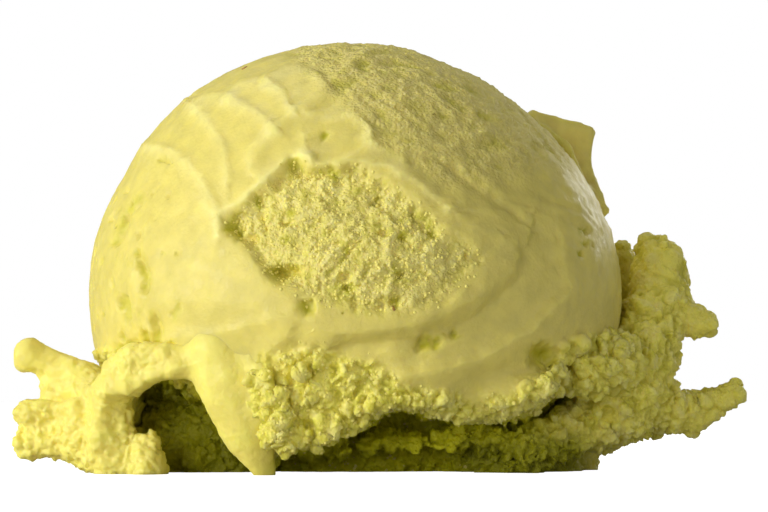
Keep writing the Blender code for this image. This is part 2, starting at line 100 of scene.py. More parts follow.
class Noise:
    """Repeatable noise fields of points in millimetres."""

    @staticmethod
    def corner(cell: np.ndarray, seed: int) -> np.ndarray:
        """Draws one value for each whole-number cell.

        Args:
            cell: Cells, as rows of three whole numbers.
            seed: Which field is drawn.

        Returns:
            A value from -1 to 1 for each cell.
        """
        mixed = cell.astype(np.int64) @ np.array((73856093, 19349663, 83492791)) + seed * 2654435761
        mixed = (mixed ^ (mixed >> 13)) * 1274126177 & 0xFFFFFFFF
        return ((mixed ^ (mixed >> 15)) & 0xFFFF) / 32767.5 - 1.0

    @staticmethod
    def corners(cell: np.ndarray, seed: int) -> np.ndarray:
        """Draws three values for each whole-number cell.

        Args:
            cell: Cells, as rows of three whole numbers.
            seed: Which field is drawn.

        Returns:
            Rows of three values from -1 to 1.
        """
        mixed = (cell @ np.array((73856093.0, 19349663.0, 83492791.0))).astype(np.int64) + seed * 2654435761
        mixed = (mixed ^ (mixed >> 13)) * 1274126177 & 0xFFFFFFFFFF
        mixed ^= mixed >> 17
        return np.stack([mixed & 0x3FF, mixed >> 10 & 0x3FF, mixed >> 20 & 0x3FF], axis=1) / 511.5 - 1.0

    @classmethod
    def soft(cls, points: np.ndarray, size: float, seed: int) -> np.ndarray:
        """Smooth value noise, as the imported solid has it.

        Args:
            points: Where the noise is read.
            size: How far apart its bumps are.
            seed: Which field is drawn.

        Returns:
            Values from -1 to 1.
        """
        scaled = points / size
        base = np.floor(scaled)
        share = scaled - base
        share = share * share * share * (share * (share * 6.0 - 15.0) + 10.0)
        total = np.zeros(len(points))
        for corner in np.ndindex(2, 2, 2):
            step = np.array(corner)
            weight = np.prod(np.where(step, share, 1.0 - share), axis=1)
            total += weight * cls.corner(base + step, seed)
        return total

    @classmethod
    def grain(cls, points: np.ndarray, size: float, seed: int, layers: int = 1) -> np.ndarray:
        """Gradient noise, crisper than soft, at halving sizes.

        Args:
            points: Where the noise is read.
            size: How far apart the largest bumps are.
            seed: Which field is drawn.
            layers: How many sizes are added, each half as strong as the last.

        Returns:
            Values of about -1 to 1 for one layer.
        """
        total = np.zeros(len(points))
        for layer in range(layers):
            scaled = points * 2.0**layer / size
            base = np.floor(scaled)
            share = scaled - base
            ease = share * share * share * (share * (share * 6.0 - 15.0) + 10.0)
            for corner in np.ndindex(2, 2, 2):
                step = np.array(corner)
                height = ((share - step) * cls.corners(base + step, seed + 7 * layer)).sum(axis=1)
                total += np.prod(np.where(step, ease, 1.0 - ease), axis=1) * height / 2.0**layer
        return 1.6 * total

    @classmethod
    def drift(cls, points: np.ndarray, size: float, seeds: tuple[int, ...], layers: int = 1) -> np.ndarray:
        """Gradient noise with a field of its own for each axis, for pushing points about.

        Args:
            points: Where the noise is read.
            size: How far apart the largest bumps are.
            seeds: Which field each axis has.
            layers: How many sizes are added.

        Returns:
            Rows of one value for each axis.
        """
        return np.stack([cls.grain(points, size, seed, layers) for seed in seeds], axis=1)

    @classmethod
    def billows(cls, points: np.ndarray, size: float, seed: int) -> np.ndarray:
        """Cloud-like puffs parted by creases, at three halving sizes.

        Args:
            points: Where the noise is read.
            size: How far apart the largest puffs are.
            seed: Which field is drawn.

        Returns:
            Values of about -0.5 to 1.
        """
        layers = (np.abs(cls.grain(points, size / 2**n, seed + 5 * n)) / 1.6**n for n in range(3))
        return 1.4 * sum(layers) - 0.6

    @classmethod
    def cells(cls, points: np.ndarray, size: float, seed: int) -> tuple[np.ndarray, np.ndarray]:
        """Distances to the nearest two of seeds that are strewn one to a cell.

        Args:
            points: Where the distances are read.
            size: How far apart the seeds are.
            seed: Which seeds are strewn.

        Returns:
            The nearest and second nearest distance, as shares of size.
        """
        scaled = points / size
        base = np.floor(scaled)
        first = np.full(len(points), 9.0)
        second = first.copy()
        for step in np.ndindex(3, 3, 3):
            cell = base + np.array(step) - 1.0
            gap = np.linalg.norm(cell + 0.5 + 0.45 * cls.corners(cell, seed) - scaled, axis=1)
            second = np.minimum(second, np.maximum(first, gap))
            first = np.minimum(first, gap)
        return first, second


def seen_from_front(points: np.ndarray) -> np.ndarray:
    """Finds where the eye sees each point on the plane y = 0.

    Args:
        points: Points in millimetres.

    Returns:
        Rows of across and up, in millimetres.
    """
    away = (points[:, 1] - EYE[1]) / -EYE[1]
    across = EYE[0] + (points[:, 0] - EYE[0]) / away
    up = EYE[2] + (points[:, 2] - EYE[2]) / away
    return np.stack([across, up], axis=1)


def line_distance(seen: np.ndarray, start: np.ndarray, end: np.ndarray) -> tuple[np.ndarray, np.ndarray]:
    """Measures each seen point against a straight line between two others.

    Args:
        seen: Rows of across and up.
        start: The line's start.
        end: The line's end.

    Returns:
        The distance to the line, and the signed distance to its left.
    """
    side = end - start
    share = np.clip((seen - start) @ side / (side @ side), 0.0, 1.0)
    gap = seen - start - share[:, None] * side
    left = (side[0] * gap[:, 1] - side[1] * gap[:, 0]) / np.linalg.norm(side)
    distance = np.linalg.norm(gap, axis=1)
    return distance, np.copysign(distance, left)


@dataclass(frozen=True)
class Stroke:
    """A run of clay-like balls, each bridged to the next.

    Attributes:
        name: What the stroke is.
        keys: Its balls, each as x, y, z and radius.
    """

    name: str
    keys: tuple[Key, ...]

    def distance(self, points: np.ndarray) -> np.ndarray:
        """Measures how far points are from the stroke's surface.

        Args:
            points: Points in millimetres.

        Returns:
            The distance, negative inside.
        """
        nearest = np.full(len(points), 1e3)
        for start, end in zip(self.keys, self.keys[1:]):
            a, along = np.array(start[:3]), np.array(end[:3]) - start[:3]
            share = np.clip((points - a) @ along / (along @ along), 0.0, 1.0)
            radius = start[3] + (end[3] - start[3]) * share
            gap = np.linalg.norm(points - a - share[:, None] * along, axis=1) - radius
            nearest = np.minimum(nearest, gap)
        return nearest


@dataclass(frozen=True)
class Mark:
    """A crest or groove on the front of the skin.

    Attributes:
        name: What the mark is.
        keys: The line it follows as seen from the front.
        left: How far it fades to its left.
        right: How far it fades to its right.
        proud: How high it stands, negative for a groove.
    """

    name: str
    keys: tuple[Point, ...]
    left: float
    right: float
    proud: float

    def height(self, seen: np.ndarray) -> np.ndarray:
        """Gives the mark's height at seen points.

        Args:
            seen: Rows of across and up.

        Returns:
            The height in millimetres.
        """
        keys = np.array(self.keys, float)
        nearest = np.full(len(seen), 1e3)
        signed = nearest.copy()
        for a, b in zip(keys, keys[1:]):
            distance, side = line_distance(seen, a, b)
            closer = distance < nearest
            nearest = np.where(closer, distance, nearest)
            signed = np.where(closer, side, signed)
        fade = np.where(signed > 0.0, self.left, self.right)
        return self.proud * np.exp(-np.abs(signed / fade) ** 1.5)


# The masses that fill the middle down to the foot
FOOT = (
    Stroke("foot_front", ((-4.0, 6.0, 6.0, 16.0), (0.0, 8.0, 6.0, 17.0))),
    Stroke("foot_left", ((-20.0, -2.0, 1.0, 9.0), (-22.0, 10.0, 1.0, 9.0), (-8.0, 20.0, 1.0, 7.0),
                         (14.0, 16.0, 1.0, 8.0))),
    Stroke("foot_right", ((14.0, -1.0, 2.0, 9.0), (17.0, 6.0, 2.0, 8.4))),
)

# The creamy skirt on the left, with its knobs, arch and tongue
CREAMY_SKIRT = (
    Stroke("knob", ((-38.5, -10.0, 12.8, 1.9), (-36.0, -10.0, 11.7, 1.8), (-33.5, -10.5, 10.2, 2.4),
                    (-31.4, -11.5, 9.3, 2.4))),
    Stroke("groove", ((-36.7, -9.8, 9.7, 1.1), (-33.0, -9.8, 8.4, 1.9))),
    Stroke("low_knob", ((-38.0, -11.0, 6.7, 1.8), (-35.2, -11.5, 7.2, 2.1), (-32.0, -12.0, 7.8, 2.8))),
    Stroke("left_foot", ((-38.6, -11.0, 3.2, 1.7), (-36.2, -11.4, 3.5, 1.7), (-33.2, -12.0, 4.0, 2.6),
                         (-30.0, -12.0, 2.4, 3.0))),
    Stroke("cheek", ((-31.0, -10.0, 7.6, 4.0), (-30.4, -3.0, 7.0, 4.4), (-30.0, 5.0, 6.4, 4.2))),
    Stroke("left_mass", ((-35.4, -8.4, 5.6, 2.6), (-34.4, -5.0, 6.2, 3.2), (-32.0, 0.0, 6.0, 4.6))),
    Stroke("arch", ((-29.4, -16.5, 9.0, 1.8), (-27.9, -18.0, 10.8, 2.1), (-25.5, -20.0, 11.8, 2.4),
                    (-22.8, -21.4, 12.4, 1.8), (-20.2, -22.2, 11.9, 1.7), (-18.0, -22.6, 12.4, 2.0))),
    Stroke("post", ((-29.4, -16.2, 8.6, 1.9), (-28.9, -16.2, 6.3, 2.2), (-28.8, -16.2, 3.6, 2.3),
                    (-28.2, -16.0, 0.4, 2.4))),
    Stroke("behind_post", ((-31.6, -13.6, 7.2, 2.6), (-31.4, -13.8, 3.8, 2.8))),
    Stroke("ledge", ((-27.4, -16.6, 3.2, 1.4), (-26.4, -16.8, 1.6, 1.5))),
    Stroke("doorstep", ((-24.6, -17.6, 3.9, 1.0), (-24.9, -17.8, 2.0, 1.6), (-24.8, -17.8, 0.4, 2.0))),
    Stroke("tongue", ((-18.4, -20.8, 16.8, 2.2), (-16.9, -22.2, 13.2, 3.5), (-15.8, -22.6, 8.8, 3.5),
                      (-14.1, -22.6, 4.9, 2.8), (-12.8, -22.4, 2.1, 1.8), (-11.9, -22.0, 0.2, 1.2))),
    Stroke("tongue_right", ((-13.4, -23.8, 13.4, 2.0), (-12.2, -24.2, 10.4, 2.4), (-12.0, -24.0, 7.4,
         2.2))),
)

# What is torn to crumbs: the shelf and drips of the lip, and the skirt with its knob and horns on the right
CRUMBLY_SKIRT = (
    Stroke("front_shelf", ((-8.6, -23.8, 7.2, 2.4), (-6.4, -24.8, 9.4, 2.4), (-3.6, -25.6, 10.4, 2.1),
                           (0.4, -26.0, 9.8, 1.7))),
    Stroke("shelf_drip", ((-9.0, -23.4, 4.4, 1.8), (-5.4, -24.4, 6.0, 1.9), (-2.6, -24.4, 7.2, 1.8))),
    Stroke("right_knob", ((30.8, 2.0, 25.6, 1.5), (31.8, 2.0, 23.2, 3.0), (32.0, 1.4, 19.6, 3.2),
                          (30.2, -1.0, 15.4, 3.5), (28.6, -3.6, 11.4, 4.3), (25.6, -6.0, 7.4, 5.0))),
    Stroke("behind", ((27.8, 7.0, 25.0, 1.6), (27.6, 8.0, 21.6, 2.5), (27.0, 8.0, 14.0, 4.2),
                      (25.0, 8.0, 7.0, 5.4))),
    Stroke("upper_horn", ((32.4, 0.6, 18.2, 2.4), (35.4, 0.4, 17.0, 1.8), (37.2, 0.2, 16.5, 1.2))),
    Stroke("lower_horn", ((30.0, -3.4, 7.4, 3.2), (33.6, -2.6, 6.6, 2.1), (36.2, -2.0, 6.9, 1.7),
                          (38.2, -2.0, 7.9, 1.6), (39.6, -2.0, 8.5, 1.5))),
    Stroke("horn_drip", ((31.9, -2.6, 6.2, 2.0), (35.3, -2.4, 5.6, 1.5))),
    Stroke("side_crumbs", ((22.0, -14.0, 10.6, 2.6), (25.6, -9.8, 12.0, 3.3))),
    Stroke("right_foot", ((26.0, -7.0, 6.4, 3.2), (20.8, -9.6, 4.2, 2.7), (16.4, -12.0, 2.4, 2.8),
                          (12.4, -11.0, 1.4, 3.0))),
    Stroke("lip_tip", ((12.0, -23.2, 8.4, 1.6), (16.2, -22.6, 9.0, 1.3), (18.9, -21.0, 10.3, 0.5))),
    Stroke("torn_edge", ((-11.4, -24.4, 12.4, 1.6), (-11.9, -25.0, 9.0, 2.0), (-11.2, -24.8, 5.6, 1.7),
                         (-9.6, -24.2, 3.6, 1.5))),
    Stroke("cave_lumps", ((15.0, -13.6, 2.2, 2.4), (9.0, -13.0, 3.6, 2.2), (6.0, -14.4, 0.8, 2.4),
                          (1.0, -12.4, 3.0, 2.2), (-3.0, -14.0, 0.6, 2.4), (-7.0, -13.0, 3.4, 2.2))),
    Stroke("back_skirt", ((24.0, 14.0, 6.0, 4.6), (14.0, 23.0, 5.0, 4.4), (0.0, 27.6, 5.4, 4.6),
                          (-14.0, 24.6, 5.0, 4.2), (-24.0, 16.6, 5.6, 4.2), (-29.0, 8.0, 6.0, 3.8))),
)

# The thin curl behind the right shoulder: the roll where it leaves the dome, and its flaps
CURL_ROLL = Stroke("curl_roll", ((18.4, 3.6, 39.4, 0.8), (21.4, 4.0, 37.0, 0.9), (22.6, 4.2, 34.2, 0.9),
                                 (23.9, 4.4, 31.4, 0.8)))
CURL: tuple[tuple[Key, ...], ...] = (
    ((17.4, 5.4, 40.6, 1.0), (24.4, 8.3, 39.1, 1.0), (23.9, 8.0, 36.1, 0.9), (17.0, 7.0, 36.0, 1.6)),
    ((23.9, 8.0, 36.1, 0.9), (24.9, 6.6, 31.4, 0.9), (19.0, 7.0, 32.0, 1.6), (17.0, 7.0, 36.0, 1.6)),
    ((24.8, 6.2, 32.4, 0.8), (25.9, 5.2, 29.6, 0.8), (21.0, 5.0, 28.0, 1.6)),
)

# What is carved away: the hollow behind the arch and the undercut below the lip
HOLLOWS = (
    Stroke("left_cave", ((-23.6, -23.0, 6.6, 2.6), (-20.6, -20.0, 6.6, 4.4), (-19.6, -15.0, 4.0, 4.0))),
    Stroke("left_cave_floor", ((-21.6, -22.6, 1.8, 2.6), (-19.0, -18.0, 1.0, 3.4),
                               (-15.6, -19.0, -0.6, 2.6))),
    Stroke("front_cave", ((-7.6, -20.0, 0.6, 2.6), (2.0, -20.0, 1.8, 4.0), (12.0, -19.4, 1.8, 4.0))),
    Stroke("front_cave_depth", ((-6.0, -14.0, 0.6, 2.6), (2.0, -13.0, 0.6, 2.8), (11.0, -14.0, 0.6, 3.0))),
)

# The edge of the broken patch as seen from the front
PATCH_OUTLINE: tuple[Point, ...] = (
    (-18.0, 27.8), (-16.2, 30.2), (-11.8, 34.0), (-9.3, 35.4), (-7.7, 34.8), (-2.6, 34.9),
    (1.8, 32.7), (5.0, 30.7), (7.6, 28.3), (11.5, 26.0), (12.9, 23.5), (10.2, 20.1),
    (5.0, 17.2), (0.0, 16.1), (-5.7, 17.2), (-9.1, 18.6), (-13.4, 22.0),
)

# Crests and grooves on the dome: the plates at the upper left, the rim of the patch, and drag lines
MARKS = (
    Mark("scale_1",
         ((-20.4, 42.2), (-18.9, 42.6), (-17.3, 42.4), (-15.7, 41.5), (-14.4, 40.8), (-12.2, 39.1)),
         0.45, 1.6, 0.3),
    Mark("scale_1_end", ((-12.2, 39.1), (-13.4, 37.9), (-14.7, 36.5), (-15.1, 35.1), (-14.5, 33.7)),
         1.3, 0.45, 0.25),
    Mark("scale_2",
         ((-20.9, 41.1), (-20.0, 40.2), (-19.2, 38.8), (-18.2, 37.4), (-17.7, 36.0), (-17.2, 32.8)),
         0.45, 1.4, 0.28),
    Mark("scale_3",
         ((-26.4, 36.8), (-24.6, 36.5), (-23.0, 35.9), (-21.6, 34.8), (-20.0, 32.5), (-18.3, 29.1)),
         0.45, 1.8, 0.32),
    Mark("scale_4", ((-23.4, 33.2), (-21.9, 32.1), (-20.4, 30.9), (-18.9, 29.4)), 0.5, 1.2, 0.15),
    Mark("scale_5", ((-17.2, 42.8), (-15.9, 43.9), (-13.4, 44.4), (-11.3, 43.0), (-10.0, 41.2)),
         0.4, 1.4, 0.28),
    Mark("scale_6", ((-12.7, 44.4), (-10.8, 45.7), (-8.5, 45.5), (-6.6, 44.1)), 0.4, 1.3, 0.26),
    Mark("band_edge", ((-1.6, 47.0), (-3.4, 45.7), (-5.1, 44.1), (-8.5, 41.3), (-12.2, 38.8)),
         1.2, 0.5, 0.3),
    Mark("plate_1", ((-9.4, 41.1), (-7.7, 40.4), (-5.7, 40.1), (-3.6, 40.5), (-1.7, 39.4), (-0.9, 38.1)),
         0.4, 1.2, 0.26),
    Mark("plate_2", ((-0.9, 38.1), (-1.1, 36.8), (0.7, 36.5), (2.7, 35.1)), 0.4, 1.2, 0.26),
    Mark("plate_3", ((-8.7, 37.9), (-8.5, 36.5), (-7.8, 35.1)), 0.4, 0.8, 0.22),
    Mark("plate_4", ((-13.4, 36.2), (-14.7, 33.7), (-15.9, 31.7)), 0.5, 1.0, 0.15),
    Mark("rim_left",
         ((-18.2, 26.5), (-17.8, 28.9), (-16.2, 30.2), (-14.5, 31.4), (-11.9, 34.1), (-10.1, 35.5),
          (-8.6, 35.1)),
         0.9, 0.4, 0.36),
    Mark("rim_top", ((-8.6, 35.1), (-7.2, 34.3), (-3.4, 35.0), (0.7, 34.4), (4.5, 32.3), (7.9, 29.4)),
         0.8, 0.4, 0.3),
    Mark("rim_right", ((7.9, 29.4), (12.4, 26.8), (14.7, 25.4), (16.0, 23.5)), 0.8, 0.6, 0.2),
    Mark("under_patch_groove", ((-4.0, 14.0), (4.5, 14.7), (11.3, 17.4), (16.1, 21.5), (16.8, 24.9)),
         1.0, 2.8, -0.9),
    Mark("under_patch_crest", ((-4.5, 15.9), (4.0, 16.4), (10.6, 19.2), (14.4, 22.8)), 1.4, 0.8, 0.35),
    Mark("lower_drag", ((2.3, 10.6), (10.2, 12.2), (17.0, 15.9), (21.1, 20.4), (20.4, 24.9)),
         0.7, 1.8, 0.65),
    Mark("shoulder_drag", ((6.8, 38.5), (12.5, 34.5), (17.0, 29.4), (19.5, 23.5)), 2.0, 1.2, -0.35),
    Mark("shoulder_crack", ((8.0, 34.4), (12.0, 31.4), (15.9, 28.9)), 0.35, 0.9, -0.5),
    Mark("right_ridge", ((20.0, 34.0), (22.6, 29.4), (24.2, 23.6)), 0.6, 1.4, 0.3),
    Mark("left_smear", ((-27.2, 19.2), (-20.4, 19.2), (-13.4, 18.6), (-6.6, 16.3)), 3.0, 2.6, 0.4),
    Mark("left_smear_edge", ((-24.6, 14.8), (-17.6, 15.6), (-12.0, 17.2)), 0.6, 1.6, 0.3),
    Mark("tongue_crest", ((-10.0, 15.6), (-12.6, 13.2), (-12.6, 10.6), (-10.6, 7.4), (-11.6, 3.4)),
         0.5, 1.2, 0.35),
    Mark("tongue_valley", ((-9.2, 14.2), (-10.6, 11.8), (-9.6, 8.6)), 0.6, 0.8, -0.4),
)

# Crests and grooves of the skirt's left side
SKIRT_MARKS = (
    Mark("knob_underside", ((-39.4, 8.7), (-36.6, 8.1), (-34.4, 8.6)), 0.6, 0.6, -0.9),
    Mark("knob_hollow", ((-39.0, 10.9), (-37.4, 10.3), (-35.6, 10.6)), 0.8, 0.8, -0.5),
    Mark("lower_ledge", ((-41.0, 6.8), (-37.8, 6.8), (-34.8, 7.6), (-33.4, 9.2)), 0.5, 1.0, 0.5),
    Mark("side_rib", ((-30.9, 8.7), (-31.7, 4.9), (-32.0, 1.4)), 0.9, 0.7, 0.7),
    Mark("side_valley", ((-33.4, 8.6), (-33.6, 5.0), (-34.0, 2.0)), 0.8, 0.8, -0.6),
    Mark("arch_rim", ((-31.0, 9.4), (-28.0, 9.6), (-26.0, 10.9), (-22.6, 11.8)), 0.5, 1.2, 0.6),
)

# Pits in the skin: across, up, radius and depth
PITS: tuple[Key, ...] = (
    (22.9, 27.0, 0.4, 0.6), (23.0, 25.6, 0.35, 0.6), (22.6, 24.4, 0.3, 0.5), (-6.4, 38.0, 0.5, 0.3),
    (5.0, 14.1, 0.8, 0.9), (6.4, 14.4, 0.6, 0.8), (8.5, 15.2, 0.5, 0.7), (-11.4, 22.4, 0.8, 0.9),
    (-9.8, 22.6, 0.6, 0.9), (-8.3, 18.4, 0.8, 0.9), (-3.6, 20.6, 0.6, 0.8), (1.8, 19.0, 0.6, 0.8),
    (-9.8, 34.6, 0.9, 0.8), (-17.0, 27.6, 0.9, 0.8),
    (18.2, 13.0, 1.3, 1.5), (19.9, 12.2, 1.2, 1.5),
)

# Where the dome's skin turns to curds above the lip, as seen from the front
CURD_ACROSS = (-17.0, -14.6, -8.0, -4.0, 1.1, 7.9, 13.6, 18.7, 21.0)
CURD_UP = (2.0, 12.4, 14.6, 13.4, 10.6, 8.6, 8.3, 10.6, 9.0)

# Flecks of nut skin as seen from the front: across, up and radius
FLECKS = ((-15.4, 45.6, 0.42), (1.5, 18.3, 0.36))

# Cracks and torn slits in the smooth skin
CRACKS = (
    Mark("slit_1", ((-24.8, 35.4), (-24.0, 34.9)), 0.3, 0.3, -0.6),
    Mark("slit_2", ((-27.0, 30.8), (-28.6, 29.2), (-29.2, 27.4), (-29.9, 25.8)), 0.35, 0.5, -0.8),
    Mark("slit_3", ((-27.4, 24.4), (-26.6, 22.6), (-26.4, 20.6)), 0.3, 0.45, -0.9),
    Mark("slit_4", ((-28.8, 19.4), (-28.2, 17.2)), 0.3, 0.5, -0.6),
    Mark("slit_5", ((-25.2, 17.0), (-24.9, 15.2), (-25.6, 13.6)), 0.3, 0.45, -0.9),
    Mark("slit_6", ((-26.8, 15.4), (-26.4, 13.8)), 0.3, 0.3, -0.7),
    Mark("slit_7", ((-29.6, 13.6), (-27.6, 14.2), (-26.6, 13.6)), 0.4, 0.6, -0.8),
    Mark("patch_crack", ((-12.4, 22.6), (-11.2, 22.2), (-9.6, 22.8)), 0.35, 0.6, -1.0),
)


class Dome:
    """The round mass that the spoon shaped, with its torn lower lip."""

    CENTRE = (-2.6, 0.0, 20.4)
    ANGLES = (-90, -30, 0, 12, 24, 36, 48, 66, 84, 102, 120, 138, 156, 168, 180, 210, 270)
    RADII = (27.0, 29.4, 29.6, 29.4, 28.8, 28.1, 27.4, 27.2, 27.4, 27.7, 28.4, 29.0, 29.0, 30.1, 30.4,
             30.0, 27.0)
    DEPTH = 29.0
    BLUR = 7.0
    LIP_ACROSS = (-34.0, -31.7, -21.5, -19.8, -15.9, -12.7, -10.2, -6.6, -3.4, 1.4, 7.9, 13.6, 18.7, 20.4,
                  24.9, 29.4)
    LIP_UP = (13.4, 12.9, 11.8, 8.8, 3.4, 0.9, 3.8, 4.3, 5.9, 8.4, 7.2, 6.7, 10.0, 12.9, 14.1, 15.3)
    LIP_FLARES = (0.4, 0.4, 0.4, 0.6, 0.8, 0.8, 1.2, 1.4, 1.5, 1.9, 2.1, 2.2, 2.0, 0.6, 0.2, 0.2)
    FLARE_HEIGHT = 3.6
    UNDERSIDE_DIP = 0.12
    BACK_LIP = 6.5
    TEAR_SIZE, TEAR = 2.6, 0.9
    SUBDIVISIONS = 6

    @classmethod
    def radii(cls, away: np.ndarray) -> np.ndarray:
        """Gives the dome's radii along x, y and z.

        Args:
            away: Directions away from the dome's centre.

        Returns:
            Rows of three radii.
        """
        every = np.arange(-90, 270)
        table = np.interp(every, cls.ANGLES, cls.RADII)
        blur = np.exp(-((np.arange(-20, 21) / cls.BLUR) ** 2))
        table = np.convolve(np.pad(table, 20, mode="wrap"), blur / blur.sum(), mode="valid")
        angle = (np.degrees(np.arctan2(away[:, 2], away[:, 0])) + 90.0) % 360.0 - 90.0
        radius = np.interp(angle, every, table, period=360)
        return np.stack([radius, np.full(len(away), cls.DEPTH), radius], axis=1)

    @classmethod
    def lip(cls, points: np.ndarray) -> np.ndarray:
        """Gives the height of the torn lip above or below each point.

        Args:
            points: Points in millimetres.

        Returns:
            The lip's height.
        """
        away = (points[:, 1] - EYE[1]) / -EYE[1]
        across = seen_from_front(points)[:, 0]
        front = EYE[2] + (np.interp(across, cls.LIP_ACROSS, cls.LIP_UP) - EYE[2]) * away
        back = smoothstep(-9.0, 3.0, points[:, 1])
        torn = cls.TEAR * Noise.soft(points * (1.0, 1.0, 0.0), cls.TEAR_SIZE, 5)
        return front + (cls.BACK_LIP - front) * back + torn

    @classmethod
    def share(cls, points: np.ndarray) -> np.ndarray:
        """Says how surely each point is on the dome's skin above the lip.

        Args:
            points: Points in millimetres.

        Returns:
            A share from 0 to 1.
        """
        away = points - cls.CENTRE
        reach = np.linalg.norm(away / cls.radii(away), axis=1)
        return smoothstep(0.9, 0.95, reach) * smoothstep(0.2, 1.6, points[:, 2] - cls.lip(points))

    @classmethod
    def add_to(cls, bm: bmesh.types.BMesh) -> None:
        """Adds the dome, flat and torn below its lip.

        Args:
            bm: The mesh that takes it.
        """
        made = bmesh.ops.create_icosphere(bm, subdivisions=cls.SUBDIVISIONS, radius=1.0)
        unit = np.array([v.co for v in made["verts"]])
        points = unit * cls.radii(unit) + cls.CENTRE
        lip = cls.lip(points)
        above = points[:, 2] - lip
        flare = np.interp(seen_from_front(points)[:, 0], cls.LIP_ACROSS, cls.LIP_FLARES)
        flare *= np.exp(-np.maximum(above, 0.0) / cls.FLARE_HEIGHT)
        points += unit * (1.0, 1.0, 0.0) * flare[:, None]
        points[:, 2] = np.where(above < 0.0, lip + cls.UNDERSIDE_DIP * above, points[:, 2])
        for vert, point in zip(made["verts"], points):
            vert.co = point


class Clay:
    """Turns overlapping shells into one skin."""

    BALL_SUBDIVISIONS = 2

    @classmethod
    def ball(cls, key: Key) -> list[Vector]:
        """Gives the points of one ball.

        Args:
            key: The ball's x, y, z and radius.

        Returns:
            Its points.
        """
        shell = bmesh.new()
        place = Matrix.Translation(key[:3])
        bmesh.ops.create_icosphere(shell, subdivisions=cls.BALL_SUBDIVISIONS, radius=key[3], matrix=place)
        points = [v.co.copy() for v in shell.verts]
        shell.free()
        return points

    @classmethod
    def add_hull(cls, bm: bmesh.types.BMesh, keys: tuple[Key, ...]) -> None:
        """Adds the tight skin round a few balls.

        Args:
            bm: The mesh that takes it.
            keys: The balls.
        """
        verts = [bm.verts.new(p) for key in keys for p in cls.ball(key)]
        made = bmesh.ops.convex_hull(bm, input=verts)
        spare = made["geom_interior"] + made["geom_unused"]
        inside = {g for g in spare if isinstance(g, bmesh.types.BMVert)}
        bmesh.ops.delete(bm, geom=list(inside), context="VERTS")

    @classmethod
    def add_strokes(cls, bm: bmesh.types.BMesh, strokes: tuple[Stroke, ...]) -> None:
        """Adds strokes, each ball bridged to the next.

        Args:
            bm: The mesh that takes them.
            strokes: The strokes.
        """
        for stroke in strokes:
            for pair in zip(stroke.keys, stroke.keys[1:]):
                cls.add_hull(bm, pair)

    @staticmethod
    def settle(obj: bpy.types.Object) -> None:
        """Applies an object's modifiers to its mesh.

        Args:
            obj: The object.
        """
        graph = bpy.context.evaluated_depsgraph_get()
        mesh = bpy.data.meshes.new_from_object(obj.evaluated_get(graph))
        obj.modifiers.clear()
        old = obj.data
        obj.data = mesh
        bpy.data.meshes.remove(old)

    @classmethod
    def fuse(cls, obj: bpy.types.Object, voxel: float) -> None:
        """Makes one even skin of an object's shells.

        Args:
            obj: The object, in millimetres.
            voxel: The size of the skin's faces.
        """
        remesh = obj.modifiers.new("fuse", "REMESH")
        remesh.mode = "VOXEL"
        remesh.voxel_size = voxel
        cls.settle(obj)

    @staticmethod
    def object_of(name: str, bm: bmesh.types.BMesh) -> bpy.types.Object:
        """Links a new object.

        Args:
            name: Its name.
            bm: Its mesh, which is freed.

        Returns:
            The object.
        """
        mesh = bpy.data.meshes.new(name)
        bm.to_mesh(mesh)
        bm.free()
        obj = bpy.data.objects.new(name, mesh)
        bpy.context.scene.collection.objects.link(obj)
        return obj


def read_points(mesh: bpy.types.Mesh, what: str = "co") -> np.ndarray:
    """Reads the vertices of a mesh.

    Args:
        mesh: The mesh.
        what: co or normal.

    Returns:
        Rows of x, y and z.
    """
    flat = np.empty(len(mesh.vertices) * 3)
    mesh.vertices.foreach_get(what, flat)
    return flat.reshape(-1, 3)


def write_points(mesh: bpy.types.Mesh, points: np.ndarray) -> None:
    """Moves the vertices of a mesh.

    Args:
        mesh: The mesh.
        points: Their new places.
    """
    mesh.vertices.foreach_set("co", points.ravel())
    mesh.update()


class Mask(Enum):
    """The parts of the skin that look different, and where shade and highlights are painted, stored on the
    mesh.
    """

    PATCH = "patch"
    CREAMY = "creamy"
    CRUMBLY = "crumbly"
    FROST = "frost"
    CURD = "curd"
    CREST_HIGHLIGHT = "crest"
    RELIEF_SHADING = "relief_shading"
    PIT_SHADE = "pit_shade"
    CAVE_SHADE = "cave_shade"
    WET_AND_SHADE = "wet_and_shade"


class Kind(Enum):
    """The masses that the scoop is made of."""

    DOME = "dome"
    CREAMY = "creamy"
    CURL = "curl"
    CRUMBLY = "crumbly"


